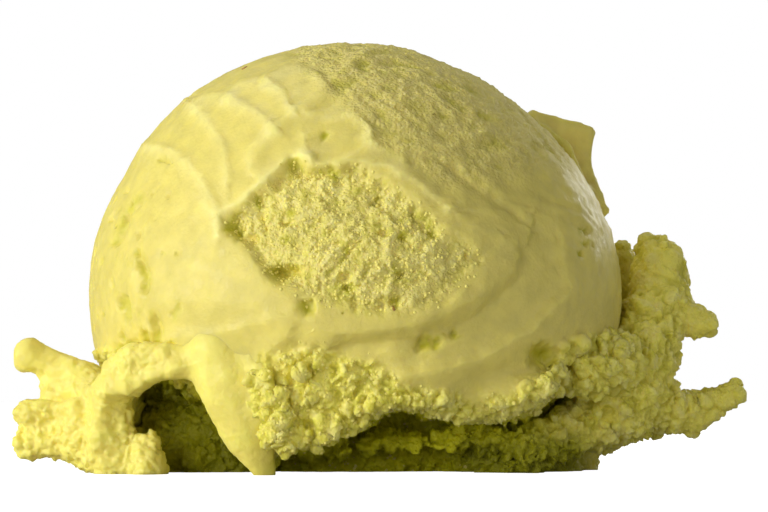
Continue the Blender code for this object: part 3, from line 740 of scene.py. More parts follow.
class Relief:
    """How the skin stands out, worked out from where each point is."""

    PATCH_DEPTH = 1.2
    PATCH_EDGE, PATCH_SOFT_EDGE = 1.3, 3.2
    PATCH_WANDER = 0.55
    PATCH_SLOPE = (-0.6, 0.8)
    PATCH_FADE = (17.0, 27.0)
    PATCH_SHALLOW = 0.45
    UPPER_RINGS, LOWER_RINGS = (5.7, 13.6), (2.3, 27.2)
    SWELL, SWELL_SIZE = 0.3, 17.0
    CRUMB_SPREAD, PATCH_SPREAD, FROST_SPREAD = 0.7, 0.6, 0.5
    DRAG_COARSE, DRAG_FINE = 0.13, 0.07
    SCALE_SIZE, SCALE_CREST = 6.5, 0.35
    THIN_MARK = 0.5
    PORE_DEPTH, HOLE_DEPTH, PEEL_DEPTH = 0.45, 0.6, 0.5
    CURD_LEFT, CURD_RIGHT, CURD_FRONT = (-17.0, -15.0), (21.0, 19.5), (-6.0, -10.0)
    CURD_FADE, CURD_WANDER = (-0.6, 1.4), 1.3
    PEEL_UP, PEEL_ACROSS = (14.0, 22.0, 32.0), (-27.0, -28.4, -27.2)
    PEEL_FOOT, PEEL_TOP, PEEL_WIDTH, PEEL_WANDER = (13.0, 15.0), (33.0, 29.0), (2.4, 1.0), 1.6
    FROST_LOWER, FROST_LEFT, FROST_RIGHT = (29.0, 33.0), (17.0, 21.0), (25.0, 32.0)
    FROST_WANDER, BACK_FROST = 0.8, 0.6

    def __init__(self, points: np.ndarray, kind: Kind) -> None:
        """Works out the masks.

        Args:
            points: The skin's points in millimetres.
            kind: Which mass the skin belongs to.
        """
        self.points = points
        self.seen = seen_from_front(points)
        nothing = np.zeros(len(points))
        self.dome, self.patch, self.frost, self.creamy, self.crumbly = (nothing.copy() for _ in range(5))
        self.pit_shade, self.crest, self.curd, self.relief_shading = nothing.copy(), nothing.copy(), nothing, nothing + 0.5
        inward = np.hypot((points[:, 0] - Dome.CENTRE[0]) / 29.5, points[:, 1] / 29.0)
        below = Dome.lip(points) - points[:, 2]
        # Painted shade: where the skin lies below the lip and inside the dome's reach
        self.cave_shade = smoothstep(-0.4, 1.4, below) * smoothstep(0.9, 0.74, inward)
        # Darker at the right foot, partly melted gelato and partly painted shade; the left hollow under the
        # lip gets dark painted shade
        low_right = smoothstep(6.0, 2.5, points[:, 2]) * smoothstep(6.0, 11.0, points[:, 0])
        self.wet_and_shade = low_right * smoothstep(25.0, 21.0, points[:, 0]) * (points[:, 1] < 4.0)
        self.wet_and_shade = np.maximum(self.wet_and_shade, self.cave_shade * smoothstep(-9.0, -13.0, points[:, 0]))
        if kind is Kind.DOME:
            self.dome = Dome.share(points)
            self.front = self.dome * smoothstep(-1.0, -4.0, points[:, 1])
            self.patch = self.patch_share() * self.front
            self.frost = self.frost_share()
            self.curd = self.curd_share()
            self.crumbly = np.maximum(1.0 - self.dome, self.curd)
            self.dome *= 1.0 - 0.8 * self.crumbly
        else:
            self.front = nothing + 1.0
            self.creamy = nothing + {Kind.CREAMY: 1.0, Kind.CURL: 0.45, Kind.CRUMBLY: 0.0}[kind]
            self.crumbly = nothing + float(kind is Kind.CRUMBLY)

    def only(self, mask: np.ndarray, shape: Callable[[np.ndarray], np.ndarray]) -> np.ndarray:
        """Works a shape out only where its mask isn't empty.

        Args:
            mask: How much of the shape is taken.
            shape: Gives heights for points.

        Returns:
            The heights, times the mask.
        """
        height = np.zeros(len(mask))
        chosen = mask > 0.004
        if chosen.any():
            height[chosen] = mask[chosen] * shape(self.points[chosen])
        return height

    def rough(self, mask: np.ndarray, height: np.ndarray, spread: float) -> np.ndarray:
        """Notes the peaks and valleys of rough skin, for painted highlights on the peaks and painted shade in
        the valleys.

        Args:
            mask: Where the skin is rough.
            height: How far it stands out there.
            spread: The height from valley to peak.

        Returns:
            The same heights.
        """
        inside = mask > 0.5
        if inside.any():
            middle = np.median(height[inside])
            self.relief_shading += mask * np.clip((height - middle) / spread, -0.5, 0.5)
        return height

    def patch_share(self) -> np.ndarray:
        """Says how deep in the broken patch each point is.

        Returns:
            1 well inside, 0 outside.
        """
        points = self.points
        wander = Noise.drift(points, 1.6, (21, 41), 2)
        seen = self.seen + self.PATCH_WANDER * wander
        outline = np.array(PATCH_OUTLINE)
        inside = np.zeros(len(points), bool)
        nearest = np.full(len(points), 1e3)
        for a, b in zip(outline, np.roll(outline, -1, axis=0)):
            nearest = np.minimum(nearest, line_distance(seen, a, b)[0])
            crosses = (a[1] > seen[:, 1]) != (b[1] > seen[:, 1])
            rise = b[1] - a[1] or 1e-9
            inside ^= crosses & (seen[:, 0] < (b[0] - a[0]) * (seen[:, 1] - a[1]) / rise + a[0])
        edge = np.where(inside, nearest, -nearest)
        steep = smoothstep(*self.PATCH_FADE, seen @ self.PATCH_SLOPE)
        width = self.PATCH_SOFT_EDGE + (self.PATCH_EDGE - self.PATCH_SOFT_EDGE) * steep
        self.patch_depth = self.PATCH_SHALLOW + (1.0 - self.PATCH_SHALLOW) * steep
        return smoothstep(0.0, width, edge)

    def curd_share(self) -> np.ndarray:
        """Says how torn to soft curds the dome's skin is above the front of its lip.

        Returns:
            A share from 0 to 1.
        """
        across, up = self.seen[:, 0], self.seen[:, 1]
        wander = self.CURD_WANDER * Noise.grain(self.points, 2.4, 24, 2)
        edge = np.interp(across, CURD_ACROSS, CURD_UP) + wander
        span = smoothstep(*self.CURD_LEFT, across) * smoothstep(*self.CURD_RIGHT, across)
        return smoothstep(*self.CURD_FADE, edge - up) * span * smoothstep(*self.CURD_FRONT, self.points[:, 1])

    def peel_share(self) -> np.ndarray:
        """Says how torn the dome's skin is in patches down its left side.

        Returns:
            A share from 0 to 1.
        """
        across, up = self.seen[:, 0], self.seen[:, 1]
        wander = self.PEEL_WANDER * Noise.grain(self.points, 3.0, 28, 2)
        line = np.interp(up, self.PEEL_UP, self.PEEL_ACROSS) + wander
        span = smoothstep(*self.PEEL_FOOT, up) * smoothstep(*self.PEEL_TOP, up)
        holes = smoothstep(-0.1, 0.35, Noise.grain(self.points, 2.6, 29, 2))
        return self.dome * smoothstep(*self.PEEL_WIDTH, np.abs(across - line)) * span * holes * self.front

    def frost_share(self) -> np.ndarray:
        """Says how frosty the dome's skin is: most in the band over its top.

        Returns:
            A share from 0 to 1.
        """
        across, up = self.seen[:, 0], self.seen[:, 1]
        wander = self.FROST_WANDER * Noise.grain(self.points, 2.6, 26, 2)
        lower = smoothstep(*self.FROST_LOWER, 0.554 * across + 0.832 * up + wander)
        left = smoothstep(*self.FROST_LEFT, 0.818 * across + 0.575 * up + wander)
        right = smoothstep(*self.FROST_RIGHT, up - 0.3 * across)
        back = smoothstep(-2.0, 6.0, self.points[:, 1])
        return self.dome * (1.0 - self.patch) * np.maximum(lower * left * right, self.BACK_FROST * back)

    def rings(self) -> np.ndarray:
        """Gives coordinates that run along the spoon's drag lines.

        Returns:
            Rows of distance across the lines, distance along them, and 0.
        """
        upper = smoothstep(22.0, 32.0, self.seen[:, 1])[:, None]
        centre = np.array(self.LOWER_RINGS) * (1.0 - upper) + np.array(self.UPPER_RINGS) * upper
        away = self.seen - centre
        ring = np.linalg.norm(away, axis=1)
        turn = np.arctan2(away[:, 1], away[:, 0])
        return np.stack([ring, 14.0 * turn, np.zeros(len(ring))], axis=1)

    def drag(self) -> np.ndarray:
        """Gives the fine lines that the spoon dragged over the dome.

        Returns:
            Heights in millimetres.
        """
        rings = self.rings()
        rings[:, 0] += 0.8 * Noise.grain(self.points, 5.0, 51)
        coarse = 1.0 - 2.2 * np.abs(Noise.grain(rings * (1.0, 0.16, 1.0), 2.0, 52))
        fine = Noise.grain(rings * (1.0, 0.12, 1.0), 0.6, 53)
        right = smoothstep(-16.0, 2.0, self.seen[:, 0]) * 0.8 + 0.2
        low = 1.0 - 0.6 * smoothstep(30.0, 16.0, self.seen[:, 1])
        return right * (self.DRAG_COARSE * low * coarse + self.DRAG_FINE * fine)

    def scales(self) -> np.ndarray:
        """Gives overlapping plates for the sides that the front's own marks leave bare.

        Returns:
            Heights in millimetres.
        """
        warped = self.points + 1.5 * Noise.drift(self.points, 6.0, (61, 62, 63))
        first, second = Noise.cells(warped * (1.0, 1.0, 0.7), self.SCALE_SIZE, 64)
        crest = np.exp(-((second - first) / 0.09) ** 2)
        elsewhere = smoothstep(-6.0, 4.0, self.points[:, 1])
        patches = smoothstep(-0.1, 0.5, Noise.grain(self.points, 16.0, 65))
        return self.SCALE_CREST * crest * elsewhere * patches

    def marks(self) -> np.ndarray:
        """Adds up the marks and cracks on the front, and stores the cracks among the pits, where shade is
        painted.

        Returns:
            Heights in millimetres.
        """
        wander = Noise.drift(self.points, 1.3, (71, 72))
        seen = self.seen + 0.28 * wander
        ragged = self.seen + 0.5 * wander
        cracks = sum(crack.height(ragged) for crack in CRACKS)
        self.pit_shade = np.maximum(self.pit_shade, np.clip(-cracks, 0.0, 1.0) * self.front)
        thin = sum(mark.height(seen) for mark in MARKS if min(mark.left, mark.right) < self.THIN_MARK)
        broad = sum(mark.height(seen) for mark in MARKS if min(mark.left, mark.right) >= self.THIN_MARK)
        # Painted highlight along the thin crests
        self.crest = np.clip((thin - 0.1) / 0.25, 0.0, 1.0) ** 1.5 * self.front * (1.0 - self.patch)
        return (thin + broad) * (1.0 - self.patch) + cracks

    def pits(self) -> np.ndarray:
        """Adds up the pits, ragged at their edges, and stores where they are, for the shade painted in them.

        Returns:
            Heights in millimetres, at most 0.
        """
        wander = Noise.drift(self.points, 0.8, (81, 82))
        seen = self.seen + 0.45 * wander
        height = np.zeros(len(seen))
        for across, up, radius, depth in PITS:
            gap = np.hypot(seen[:, 0] - across, seen[:, 1] - up) / radius
            dip = np.exp(-(gap**2) ** 1.4)
            height -= depth * dip
            self.pit_shade = np.maximum(self.pit_shade, dip * self.front)
        side = smoothstep(-20.0, -25.0, self.seen[:, 0]) * smoothstep(36.0, 31.0, self.seen[:, 1])
        pores = side * smoothstep(0.42, 0.8, Noise.grain(self.points, 1.5, 84))
        self.pit_shade = np.maximum(self.pit_shade, 0.7 * pores * self.front)
        return height - self.PORE_DEPTH * pores

    @staticmethod
    def broken(points: np.ndarray) -> np.ndarray:
        """Gives the coarse grain inside the broken patch.

        Args:
            points: Points in millimetres.

        Returns:
            Heights in millimetres.
        """
        warped = points + 0.5 * Noise.grain(points, 1.2, 91)[:, None]
        lumps = Noise.billows(warped, 2.2, 92)
        grains = 0.62 - Noise.cells(warped, 0.66, 95)[0]
        return 0.2 * Noise.grain(points, 3.4, 98) + 0.42 * lumps + 0.34 * grains

    @staticmethod
    def crumbs(points: np.ndarray) -> np.ndarray:
        """Gives the cauliflower-like crumb of torn gelato.

        Args:
            points: Points in millimetres.

        Returns:
            Heights in millimetres.
        """
        warped = points + 0.6 * Noise.drift(points, 1.5, (101, 103, 104))
        lumps = Noise.billows(warped, 2.3, 102)
        grains = 0.62 - Noise.cells(warped, 0.8, 105)[0]
        knob = smoothstep(17.0, 22.0, points[:, 2]) * smoothstep(24.0, 28.0, points[:, 0])
        soft = 1.0 - 0.5 * np.maximum(knob, smoothstep(32.0, 35.0, points[:, 0]))
        pores = smoothstep(0.3, 0.8, Noise.grain(points, 1.7, 109))
        waxy = (1.0 - soft) * Noise.grain(points, 2.6, 107)
        return soft * (0.85 * lumps + 0.42 * grains - 0.5 * pores) + 0.4 * waxy

    @staticmethod
    def cream(points: np.ndarray) -> np.ndarray:
        """Gives the soft folds, torn ledges and fine pores of the creamy skirt.

        Args:
            points: Points in millimetres.

        Returns:
            Heights in millimetres.
        """
        warped = points + 0.9 * Noise.drift(points, 2.6, (111, 112, 113))
        left = smoothstep(-19.0, -25.0, points[:, 0])
        folds = (0.22 + 0.16 * left) * Noise.grain(warped * (1.0, 1.0, 0.75), 3.6, 114, 2)
        ledges = 0.5 - np.abs(Noise.grain(warped, 2.4, 115))
        torn = smoothstep(-0.1, 0.5, Noise.grain(points, 4.2, 117))
        low = smoothstep(9.0, 4.0, points[:, 2]) * smoothstep(-20.0, -25.0, points[:, 0])
        rough = np.clip(0.55 * torn * left + low, 0.0, 1.0)
        pores = smoothstep(0.3, 0.75, Noise.grain(points, 1.2, 116))
        lumps = 0.5 - Noise.cells(warped, 1.5, 118)[0]
        fine = Noise.grain(points, 0.6, 119, 2)
        folds += (0.06 + 0.24 * left) * ledges
        knob = smoothstep(-29.0, -33.0, points[:, 0]) * smoothstep(9.0, 10.5, points[:, 2])
        left *= 1.0 - 0.9 * knob
        folds += 0.26 * left * Noise.billows(warped, 2.2, 120)
        seen = seen_from_front(points)
        folds += np.sum([mark.height(seen) for mark in SKIRT_MARKS], axis=0)
        return folds - 0.4 * pores * rough + rough * (0.4 * lumps + 0.16 * fine) + 0.04 * fine

    def height(self) -> np.ndarray:
        """Adds everything up.

        Returns:
            How far each point stands out, in millimetres.
        """
        total = self.SWELL * Noise.soft(self.points, self.SWELL_SIZE, 1)
        total += self.rough(self.crumbly, self.only(self.crumbly, self.crumbs), self.CRUMB_SPREAD)
        total += self.only(self.creamy, self.cream)
        total += self.rough(self.patch, self.only(self.patch, self.broken), self.PATCH_SPREAD)
        if self.dome.any():
            total -= self.PATCH_DEPTH * self.patch_depth * self.patch
            skin = self.dome * (1.0 - self.patch)
            total += skin * (self.drag() + self.scales()) + self.only(skin, self.satin)
            total += self.rough(self.frost, self.frost * self.frosty(), self.FROST_SPREAD)
            peel = self.peel_share()
            total += self.rough(peel, self.PEEL_DEPTH * self.only(peel, self.broken), self.FROST_SPREAD)
            total += (self.marks() + self.pits()) * self.front
            rim = smoothstep(0.25, 0.6, self.patch) * smoothstep(0.995, 0.8, self.patch) * self.patch_depth
            chance = Noise.grain(self.points, 2.0, 99, 2) + 0.55 * rim
            holes = self.patch * smoothstep(0.3, 0.8, chance)
            # The holes get painted shade as well
            self.pit_shade = np.maximum(self.pit_shade, 0.9 * holes)
            total -= self.HOLE_DEPTH * holes
        return total

    def frosty(self) -> np.ndarray:
        """Gives the rough grain of frosted skin, drawn out along the spoon's path.

        Returns:
            Heights in millimetres.
        """
        points = self.points
        along = points @ np.array(((0.8, 0.0, 0.6), (0.0, 1.0, 0.0), (-0.6, 0.0, 0.8)))
        ridges = 0.45 - np.abs(Noise.grain(along * (0.5, 0.6, 1.0), 2.1, 121, 2))
        grains = 0.6 - Noise.cells(points, 0.8, 123)[0]
        return 0.36 * ridges + 0.2 * grains + 0.08 * Noise.grain(points, 0.5, 124)

    @staticmethod
    def satin(points: np.ndarray) -> np.ndarray:
        """Gives the slight unevenness of smooth skin.

        Args:
            points: Points in millimetres.

        Returns:
            Heights in millimetres.
        """
        right = smoothstep(-14.0, 6.0, points[:, 0])
        fine = (0.03 + 0.03 * right) * Noise.grain(points, 0.7, 126, 2)
        return fine + 0.09 * Noise.grain(points, 2.6, 128)


class CrumbField:
    """Uneven balls of torn gelato strewn over rough masses, to be fused with them."""

    SEED = 17
    RADII, LIP_RADII = (0.28, 0.85), (0.24, 0.62)
    FAVOUR_SMALL, FAVOUR_SMALL_LIP = 2.6, 1.5
    SUNK = 0.2
    SCATTER = 0.12
    SQUEEZE = (0.5, 1.4)

    @classmethod
    def add_to(cls, rough: bpy.types.Object, plan: "Plan") -> None:
        """Adds the balls to the rough masses' mesh.

        Args:
            rough: The masses, in millimetres.
            plan: How many there are.
        """
        points, normals = read_points(rough.data), read_points(rough.data, "normal")
        rng = np.random.default_rng(cls.SEED + plan.crumbs)
        clump = smoothstep(-0.5, 0.5, Noise.grain(points, 5.0, 131)) * 0.8 + 0.2
        relief = Relief(points, plan.kind)
        hidden = plan.hidden(points)
        from_smooth = np.min([s.distance(points) for s in SMOOTH_LUMPS], axis=0)
        rough_share = smoothstep(1.5, 4.0, from_smooth) * 0.85 + 0.15
        front = 0.15 + 0.85 * smoothstep(4.0, -4.0, points[:, 1])
        weight = relief.crumbly * clump * rough_share * front * (1.0 - hidden) * (points[:, 2] > 0.4)
        above = points[:, 2] - Dome.lip(points)
        torn = (points[:, 1] < -12.0) * smoothstep(-10.0, -8.0, points[:, 0])
        edge = np.exp(-((above / 0.6) ** 2)) * torn
        picked = [
            cls.draw(rng, weight, plan.crumbs, cls.RADII, cls.FAVOUR_SMALL),
            cls.draw(rng, edge * (1.0 - hidden), plan.lip_crumbs, cls.LIP_RADII, cls.FAVOUR_SMALL_LIP),
        ]
        chosen, radii = (np.concatenate(parts) for parts in zip(*picked))
        if not len(chosen):
            return
        centres = points[chosen] - normals[chosen] * (cls.SUNK * radii)[:, None]
        centres += rng.normal(0.0, cls.SCATTER, centres.shape)
        cls.join(rough, centres, radii, rng)
        log.info("%s: %d crumbs fused to the skin", plan.name, len(radii))

    @staticmethod
    def draw(
        rng: np.random.Generator, weight: np.ndarray, count: int, radii: Point, power: float
    ) -> tuple[np.ndarray, np.ndarray]:
        """Draws where balls go and how large they are.

        Args:
            rng: The draw.
            weight: How likely each point is.
            count: How many balls there are.
            radii: The smallest and largest.
            power: How much smaller ones are favoured.

        Returns:
            The points chosen, and the radii.
        """
        if not count:
            return np.zeros(0, int), np.zeros(0)
        chosen = rng.choice(len(weight), count, p=weight / weight.sum())
        return chosen, radii[0] + (radii[1] - radii[0]) * rng.random(count) ** power

    @classmethod
    def join(
        cls, rough: bpy.types.Object, centres: np.ndarray, radii: np.ndarray, rng: np.random.Generator
    ) -> None:
        """Joins balls to a mesh, each squeezed a little its own way.

        Args:
            rough: The object whose mesh takes them.
            centres: The balls' centres.
            radii: Their radii.
            rng: The draw.
        """
        shell = bmesh.new()
        bmesh.ops.create_icosphere(shell, subdivisions=2, radius=1.0)
        ball = np.array([v.co for v in shell.verts])
        corners = np.array([[v.index for v in f.verts] for f in shell.faces])
        shell.free()
        squeeze = rng.uniform(*cls.SQUEEZE, (len(radii), 3))
        turns, _ = np.linalg.qr(rng.normal(size=(len(radii), 3, 3)))
        shape = np.einsum("nij,nj,pj->npi", turns, squeeze, ball)
        verts = (centres[:, None, :] + shape * radii[:, None, None]).reshape(-1, 3)
        flip = np.linalg.det(turns) < 0.0
        faces = corners[None] + len(ball) * np.arange(len(radii))[:, None, None]
        faces[flip] = faces[flip][:, :, ::-1]
        bm = bmesh.new()
        bm.from_mesh(rough.data)
        extra = bpy.data.meshes.new("balls")
        extra.from_pydata(verts.tolist(), [], faces.reshape(-1, 3).tolist())
        bm.from_mesh(extra)
        bm.to_mesh(rough.data)
        bm.free()
        bpy.data.meshes.remove(extra)


class GelatoFinish:
    """Pistachio gelato: soft and pale where it is creamy, greener and coarser where it is torn, with shade
    and highlights painted into its colour.
    """

    @dataclass(frozen=True)
    class Tones:
        """The colours of the gelato, painted shade and highlights among them, as linear red, green and blue.

        Attributes:
            smooth: The dome's skin.
            creamy: The melted and pressed skirt.
            patch: The broken patch.
            torn: Crumbs.
            frost: The frosted band.
            crest: A painted highlight on thin crests and on the peaks of rough skin, standing in for light
                that shines through them.
            pit_shade: Painted shade at the bottoms of pits, cracks, pores and holes, and in the valleys of
                rough skin.
            cave_shade: Painted shade under the lip: a deep yellow-green with no blue, on the underside and
                what lies behind the lip.
            wet_and_shade: Painted shade in the left hollow, and a dark tone at the right foot that is partly
                melted gelato and partly painted shade.
        """

        smooth: Tone = (0.82, 0.71, 0.18)
        creamy: Tone = (0.94, 0.82, 0.19)
        patch: Tone = (0.90, 0.785, 0.21)
        torn: Tone = (0.92, 0.825, 0.15)
        frost: Tone = (0.80, 0.69, 0.19)
        crest: Tone = (0.94, 0.84, 0.29)
        pit_shade: Tone = (0.60, 0.56, 0.03)
        cave_shade: Tone = (0.80, 0.76, 0.01)
        wet_and_shade: Tone = (0.38, 0.37, 0.004)

    TONES = Tones()
    SCATTER_RADIUS = (1.0, 0.88, 0.2)
    SPECULAR = 0.42
    SMOOTH_ROUGHNESS, FROSTY_ROUGHNESS = (0.42, 0.62), 0.7
    FINE_RELIEF = 0.00016
    GRAINS_PER_METRE, FINE_GRAINS_PER_METRE = 2300.0, 4200.0

    def __init__(self, name: str, scatter: Point) -> None:
        """Makes the material.

        Args:
            name: Its name.
            scatter: How much light goes under the skin, and how far in metres.
        """
        self.scatter = scatter
        self.material = bpy.data.materials.new(name)
        self.material.use_nodes = True
        self.tree = self.material.node_tree
        self.shader = self.tree.nodes["Principled BSDF"]
        self.build()

    def node(self, kind: str, **values: object) -> bpy.types.Node:
        """Adds a node.

        Args:
            kind: The node's type.
            **values: Its properties.

        Returns:
            The node.
        """
        made = self.tree.nodes.new(kind)
        for name, value in values.items():
            setattr(made, name, value)
        return made

    def mask(self, mask: Mask) -> bpy.types.NodeSocket:
        """Reads one of the skin's masks.

        Args:
            mask: Which one.

        Returns:
            The socket that carries it.
        """
        return self.node("ShaderNodeAttribute", attribute_name=mask.value).outputs["Fac"]

    def noise(self, scale: float, detail: float) -> bpy.types.NodeSocket:
        """Reads noise at the object's own coordinates.

        Args:
            scale: How many bumps there are to a metre.
            detail: How many finer layers it has.

        Returns:
            The socket that carries it.
        """
        made = self.node("ShaderNodeTexNoise")
        made.inputs["Scale"].default_value = scale
        made.inputs["Detail"].default_value = detail
        self.tree.links.new(self.place, made.inputs["Vector"])
        return made.outputs["Fac"]

    def mix(
        self, share: bpy.types.NodeSocket, low: object, high: object, kind: str = "RGBA"
    ) -> bpy.types.NodeSocket:
        """Mixes two colours or numbers.

        Args:
            share: How much of the second is taken.
            low: The first, as a socket or value.
            high: The second, as a socket or value.
            kind: RGBA or FLOAT.

        Returns:
            The socket that carries the mixture.
        """
        made = self.node("ShaderNodeMix", data_type=kind)
        places = {"RGBA": (6, 7, 2), "FLOAT": (2, 3, 0)}[kind]
        self.tree.links.new(share, made.inputs[0])
        for place, value in zip(places, (low, high)):
            if isinstance(value, bpy.types.NodeSocket):
                self.tree.links.new(value, made.inputs[place])
            elif kind == "RGBA":
                made.inputs[place].default_value = (*value, 1.0)
            else:
                made.inputs[place].default_value = value
        return made.outputs[places[2]]

    def span(
        self, value: bpy.types.NodeSocket, low: float, high: float, to_low: float, to_high: float
    ) -> bpy.types.NodeSocket:
        """Maps a range of values to another.

        Args:
            value: The value.
            low: The range's low end.
            high: Its high end.
            to_low: What the low end becomes.
            to_high: What the high end becomes.

        Returns:
            The socket that carries the result.
        """
        made = self.node("ShaderNodeMapRange")
        for name, number in zip(("From Min", "From Max", "To Min", "To Max"), (low, high, to_low, to_high)):
            made.inputs[name].default_value = number
        self.tree.links.new(value, made.inputs["Value"])
        return made.outputs["Result"]

    def grains(self) -> bpy.types.NodeSocket:
        """Gives fine grains at the object's own coordinates.

        Returns:
            The socket that carries their height.
        """
        made = self.node("ShaderNodeTexVoronoi", feature="SMOOTH_F1")
        made.inputs["Scale"].default_value = self.GRAINS_PER_METRE
        made.inputs["Smoothness"].default_value = 0.35
        self.tree.links.new(self.place, made.inputs["Vector"])
        round_grains = self.span(made.outputs["Distance"], 0.0, 0.7, 1.0, 0.0)
        fine = self.span(self.noise(self.FINE_GRAINS_PER_METRE, 3.0), 0.3, 0.7, 0.0, 1.0)
        steady = self.node("ShaderNodeValue")
        steady.outputs[0].default_value = 0.35
        return self.mix(steady.outputs[0], round_grains, fine, "FLOAT")

    def most(self, *values: bpy.types.NodeSocket) -> bpy.types.NodeSocket:
        """Takes the largest of several numbers.

        Args:
            *values: The numbers.

        Returns:
            The socket that carries the largest.
        """
        largest = values[0]
        for value in values[1:]:
            made = self.node("ShaderNodeMath", operation="MAXIMUM")
            self.tree.links.new(largest, made.inputs[0])
            self.tree.links.new(value, made.inputs[1])
            largest = made.outputs[0]
        return largest

    def build(self) -> None:
        """Builds the node tree."""
        self.place = self.node("ShaderNodeTexCoord").outputs["Object"]
        tones = self.TONES
        colour = self.mix(self.mask(Mask.CREAMY), tones.smooth, tones.creamy)
        colour = self.mix(self.mask(Mask.CRUMBLY), colour, tones.torn)
        colour = self.mix(self.mask(Mask.PATCH), colour, tones.patch)
        colour = self.mix(self.mask(Mask.FROST), colour, tones.frost)
        # Painted highlight on thin crests
        colour = self.mix(self.mask(Mask.CREST_HIGHLIGHT), colour, tones.crest)
        relief_shading = self.mask(Mask.RELIEF_SHADING)
        # Painted shade in the valleys of rough skin, and painted highlights on its peaks
        colour = self.mix(self.span(relief_shading, 0.5, 0.1, 0.0, 0.6), colour, tones.pit_shade)
        colour = self.mix(self.span(relief_shading, 0.55, 1.0, 0.0, 0.55), colour, tones.crest)
        # Painted shade in pits, cracks, pores and holes
        colour = self.mix(self.mask(Mask.PIT_SHADE), colour, tones.pit_shade)
        # Painted shade under the lip
        colour = self.mix(self.mask(Mask.CAVE_SHADE), colour, tones.cave_shade)
        # Dark painted shade in the left hollow, and at the right foot partly melted gelato and partly painted
        # shade
        colour = self.mix(self.mask(Mask.WET_AND_SHADE), colour, tones.wet_and_shade)
        mottle = self.span(self.noise(420.0, 3.0), 0.35, 0.65, 0.93, 1.05)
        tint = self.node("ShaderNodeMix", data_type="RGBA", blend_type="MULTIPLY")
        tint.inputs[0].default_value = 1.0
        grey = self.node("ShaderNodeCombineColor")
        for name in ("Red", "Green", "Blue"):
            self.tree.links.new(mottle, grey.inputs[name])
        self.tree.links.new(colour, tint.inputs[6])
        self.tree.links.new(grey.outputs["Color"], tint.inputs[7])
        self.tree.links.new(tint.outputs[2], self.shader.inputs["Base Color"])
        rough = self.span(self.noise(900.0, 2.0), 0.3, 0.7, *self.SMOOTH_ROUGHNESS)
        rough = self.mix(self.mask(Mask.FROST), rough, self.FROSTY_ROUGHNESS, "FLOAT")
        self.tree.links.new(rough, self.shader.inputs["Roughness"])
        fine = self.node("ShaderNodeBump")
        fine.inputs["Distance"].default_value = self.FINE_RELIEF
        fine.inputs["Strength"].default_value = 1.0
        rough_skin = self.most(self.mask(Mask.PATCH), self.mask(Mask.CRUMBLY), self.mask(Mask.FROST))
        faint = self.span(self.noise(2600.0, 3.0), 0.0, 1.0, 0.0, 0.35)
        grains = self.mix(rough_skin, faint, self.grains(), "FLOAT")
        self.tree.links.new(grains, fine.inputs["Height"])
        self.tree.links.new(fine.outputs["Normal"], self.shader.inputs["Normal"])
        self.shader.inputs["Subsurface Weight"].default_value = self.scatter[0]
        self.shader.inputs["Subsurface Radius"].default_value = self.SCATTER_RADIUS
        self.shader.inputs["Subsurface Scale"].default_value = self.scatter[1]
        self.shader.inputs["Specular IOR Level"].default_value = self.SPECULAR


@dataclass(frozen=True)
class SpeckFinish:
    """A matt finish of two tones in fine specks.

    Attributes:
        name: The material's name.
        scale: How many specks there are to a metre.
        low: The darker tone.
        high: The paler tone.
        specular: How strongly it shines.
    """

    ROUGHNESS = 0.6

    name: str
    scale: float
    low: Tone
    high: Tone
    specular: float

    def material(self) -> bpy.types.Material:
        """Makes the material.

        Returns:
            The material.
        """
        material = bpy.data.materials.new(self.name)
        material.use_nodes = True
        tree = material.node_tree
        shader = tree.nodes["Principled BSDF"]
        noise = tree.nodes.new("ShaderNodeTexNoise")
        noise.inputs["Scale"].default_value = self.scale
        shades = tree.nodes.new("ShaderNodeMix")
        shades.data_type = "RGBA"
        shades.inputs[6].default_value = (*self.low, 1.0)
        shades.inputs[7].default_value = (*self.high, 1.0)
        place = tree.nodes.new("ShaderNodeTexCoord")
        tree.links.new(place.outputs["Object"], noise.inputs["Vector"])
        tree.links.new(noise.outputs["Fac"], shades.inputs[0])
        tree.links.new(shades.outputs[2], shader.inputs["Base Color"])
        shader.inputs["Roughness"].default_value = self.ROUGHNESS
        shader.inputs["Specular IOR Level"].default_value = self.specular
        return material


# How much light goes under the skin, and how far in metres
DENSE_SCATTER, AIRY_SCATTER = (0.45, 0.0015), (0.5, 0.0020)

ICE_GRAIN = SpeckFinish("ice_grain", 700.0, (0.84, 0.74, 0.15), (0.94, 0.85, 0.27), 0.2)
NUT_SKIN = SpeckFinish("nut_skin", 6000.0, (0.34, 0.16, 0.04), (0.60, 0.36, 0.08), 0.5)


@dataclass(frozen=True)
class Plan:
    """What one mass of the scoop is made of.

    Attributes:
        name: The piece's name.
        kind: How it looks.
        strokes: Its strokes.
        voxel: The size of its fused faces in millimetres.
        crumbs: How many crumbs are fused to it.
        lip_crumbs: How many of those hang from the lip.
        flaps: Thin hulls.
    """

    name: str
    kind: Kind
    strokes: tuple[Stroke, ...]
    voxel: float
    crumbs: int = 0
    lip_crumbs: int = 0
    flaps: tuple[tuple[Key, ...], ...] = ()

    def hidden(self, points: np.ndarray) -> np.ndarray:
        """Says which points other masses cover.

        Args:
            points: Points in millimetres.

        Returns:
            1 where covered, 0 where seen.
        """
        if self.kind is Kind.DOME:
            return np.zeros(len(points))
        away = points - Dome.CENTRE
        reach = np.linalg.norm(away / Dome.radii(away), axis=1)
        return smoothstep(0.95, 0.9, reach) * smoothstep(0.5, 1.5, points[:, 2] - Dome.lip(points))


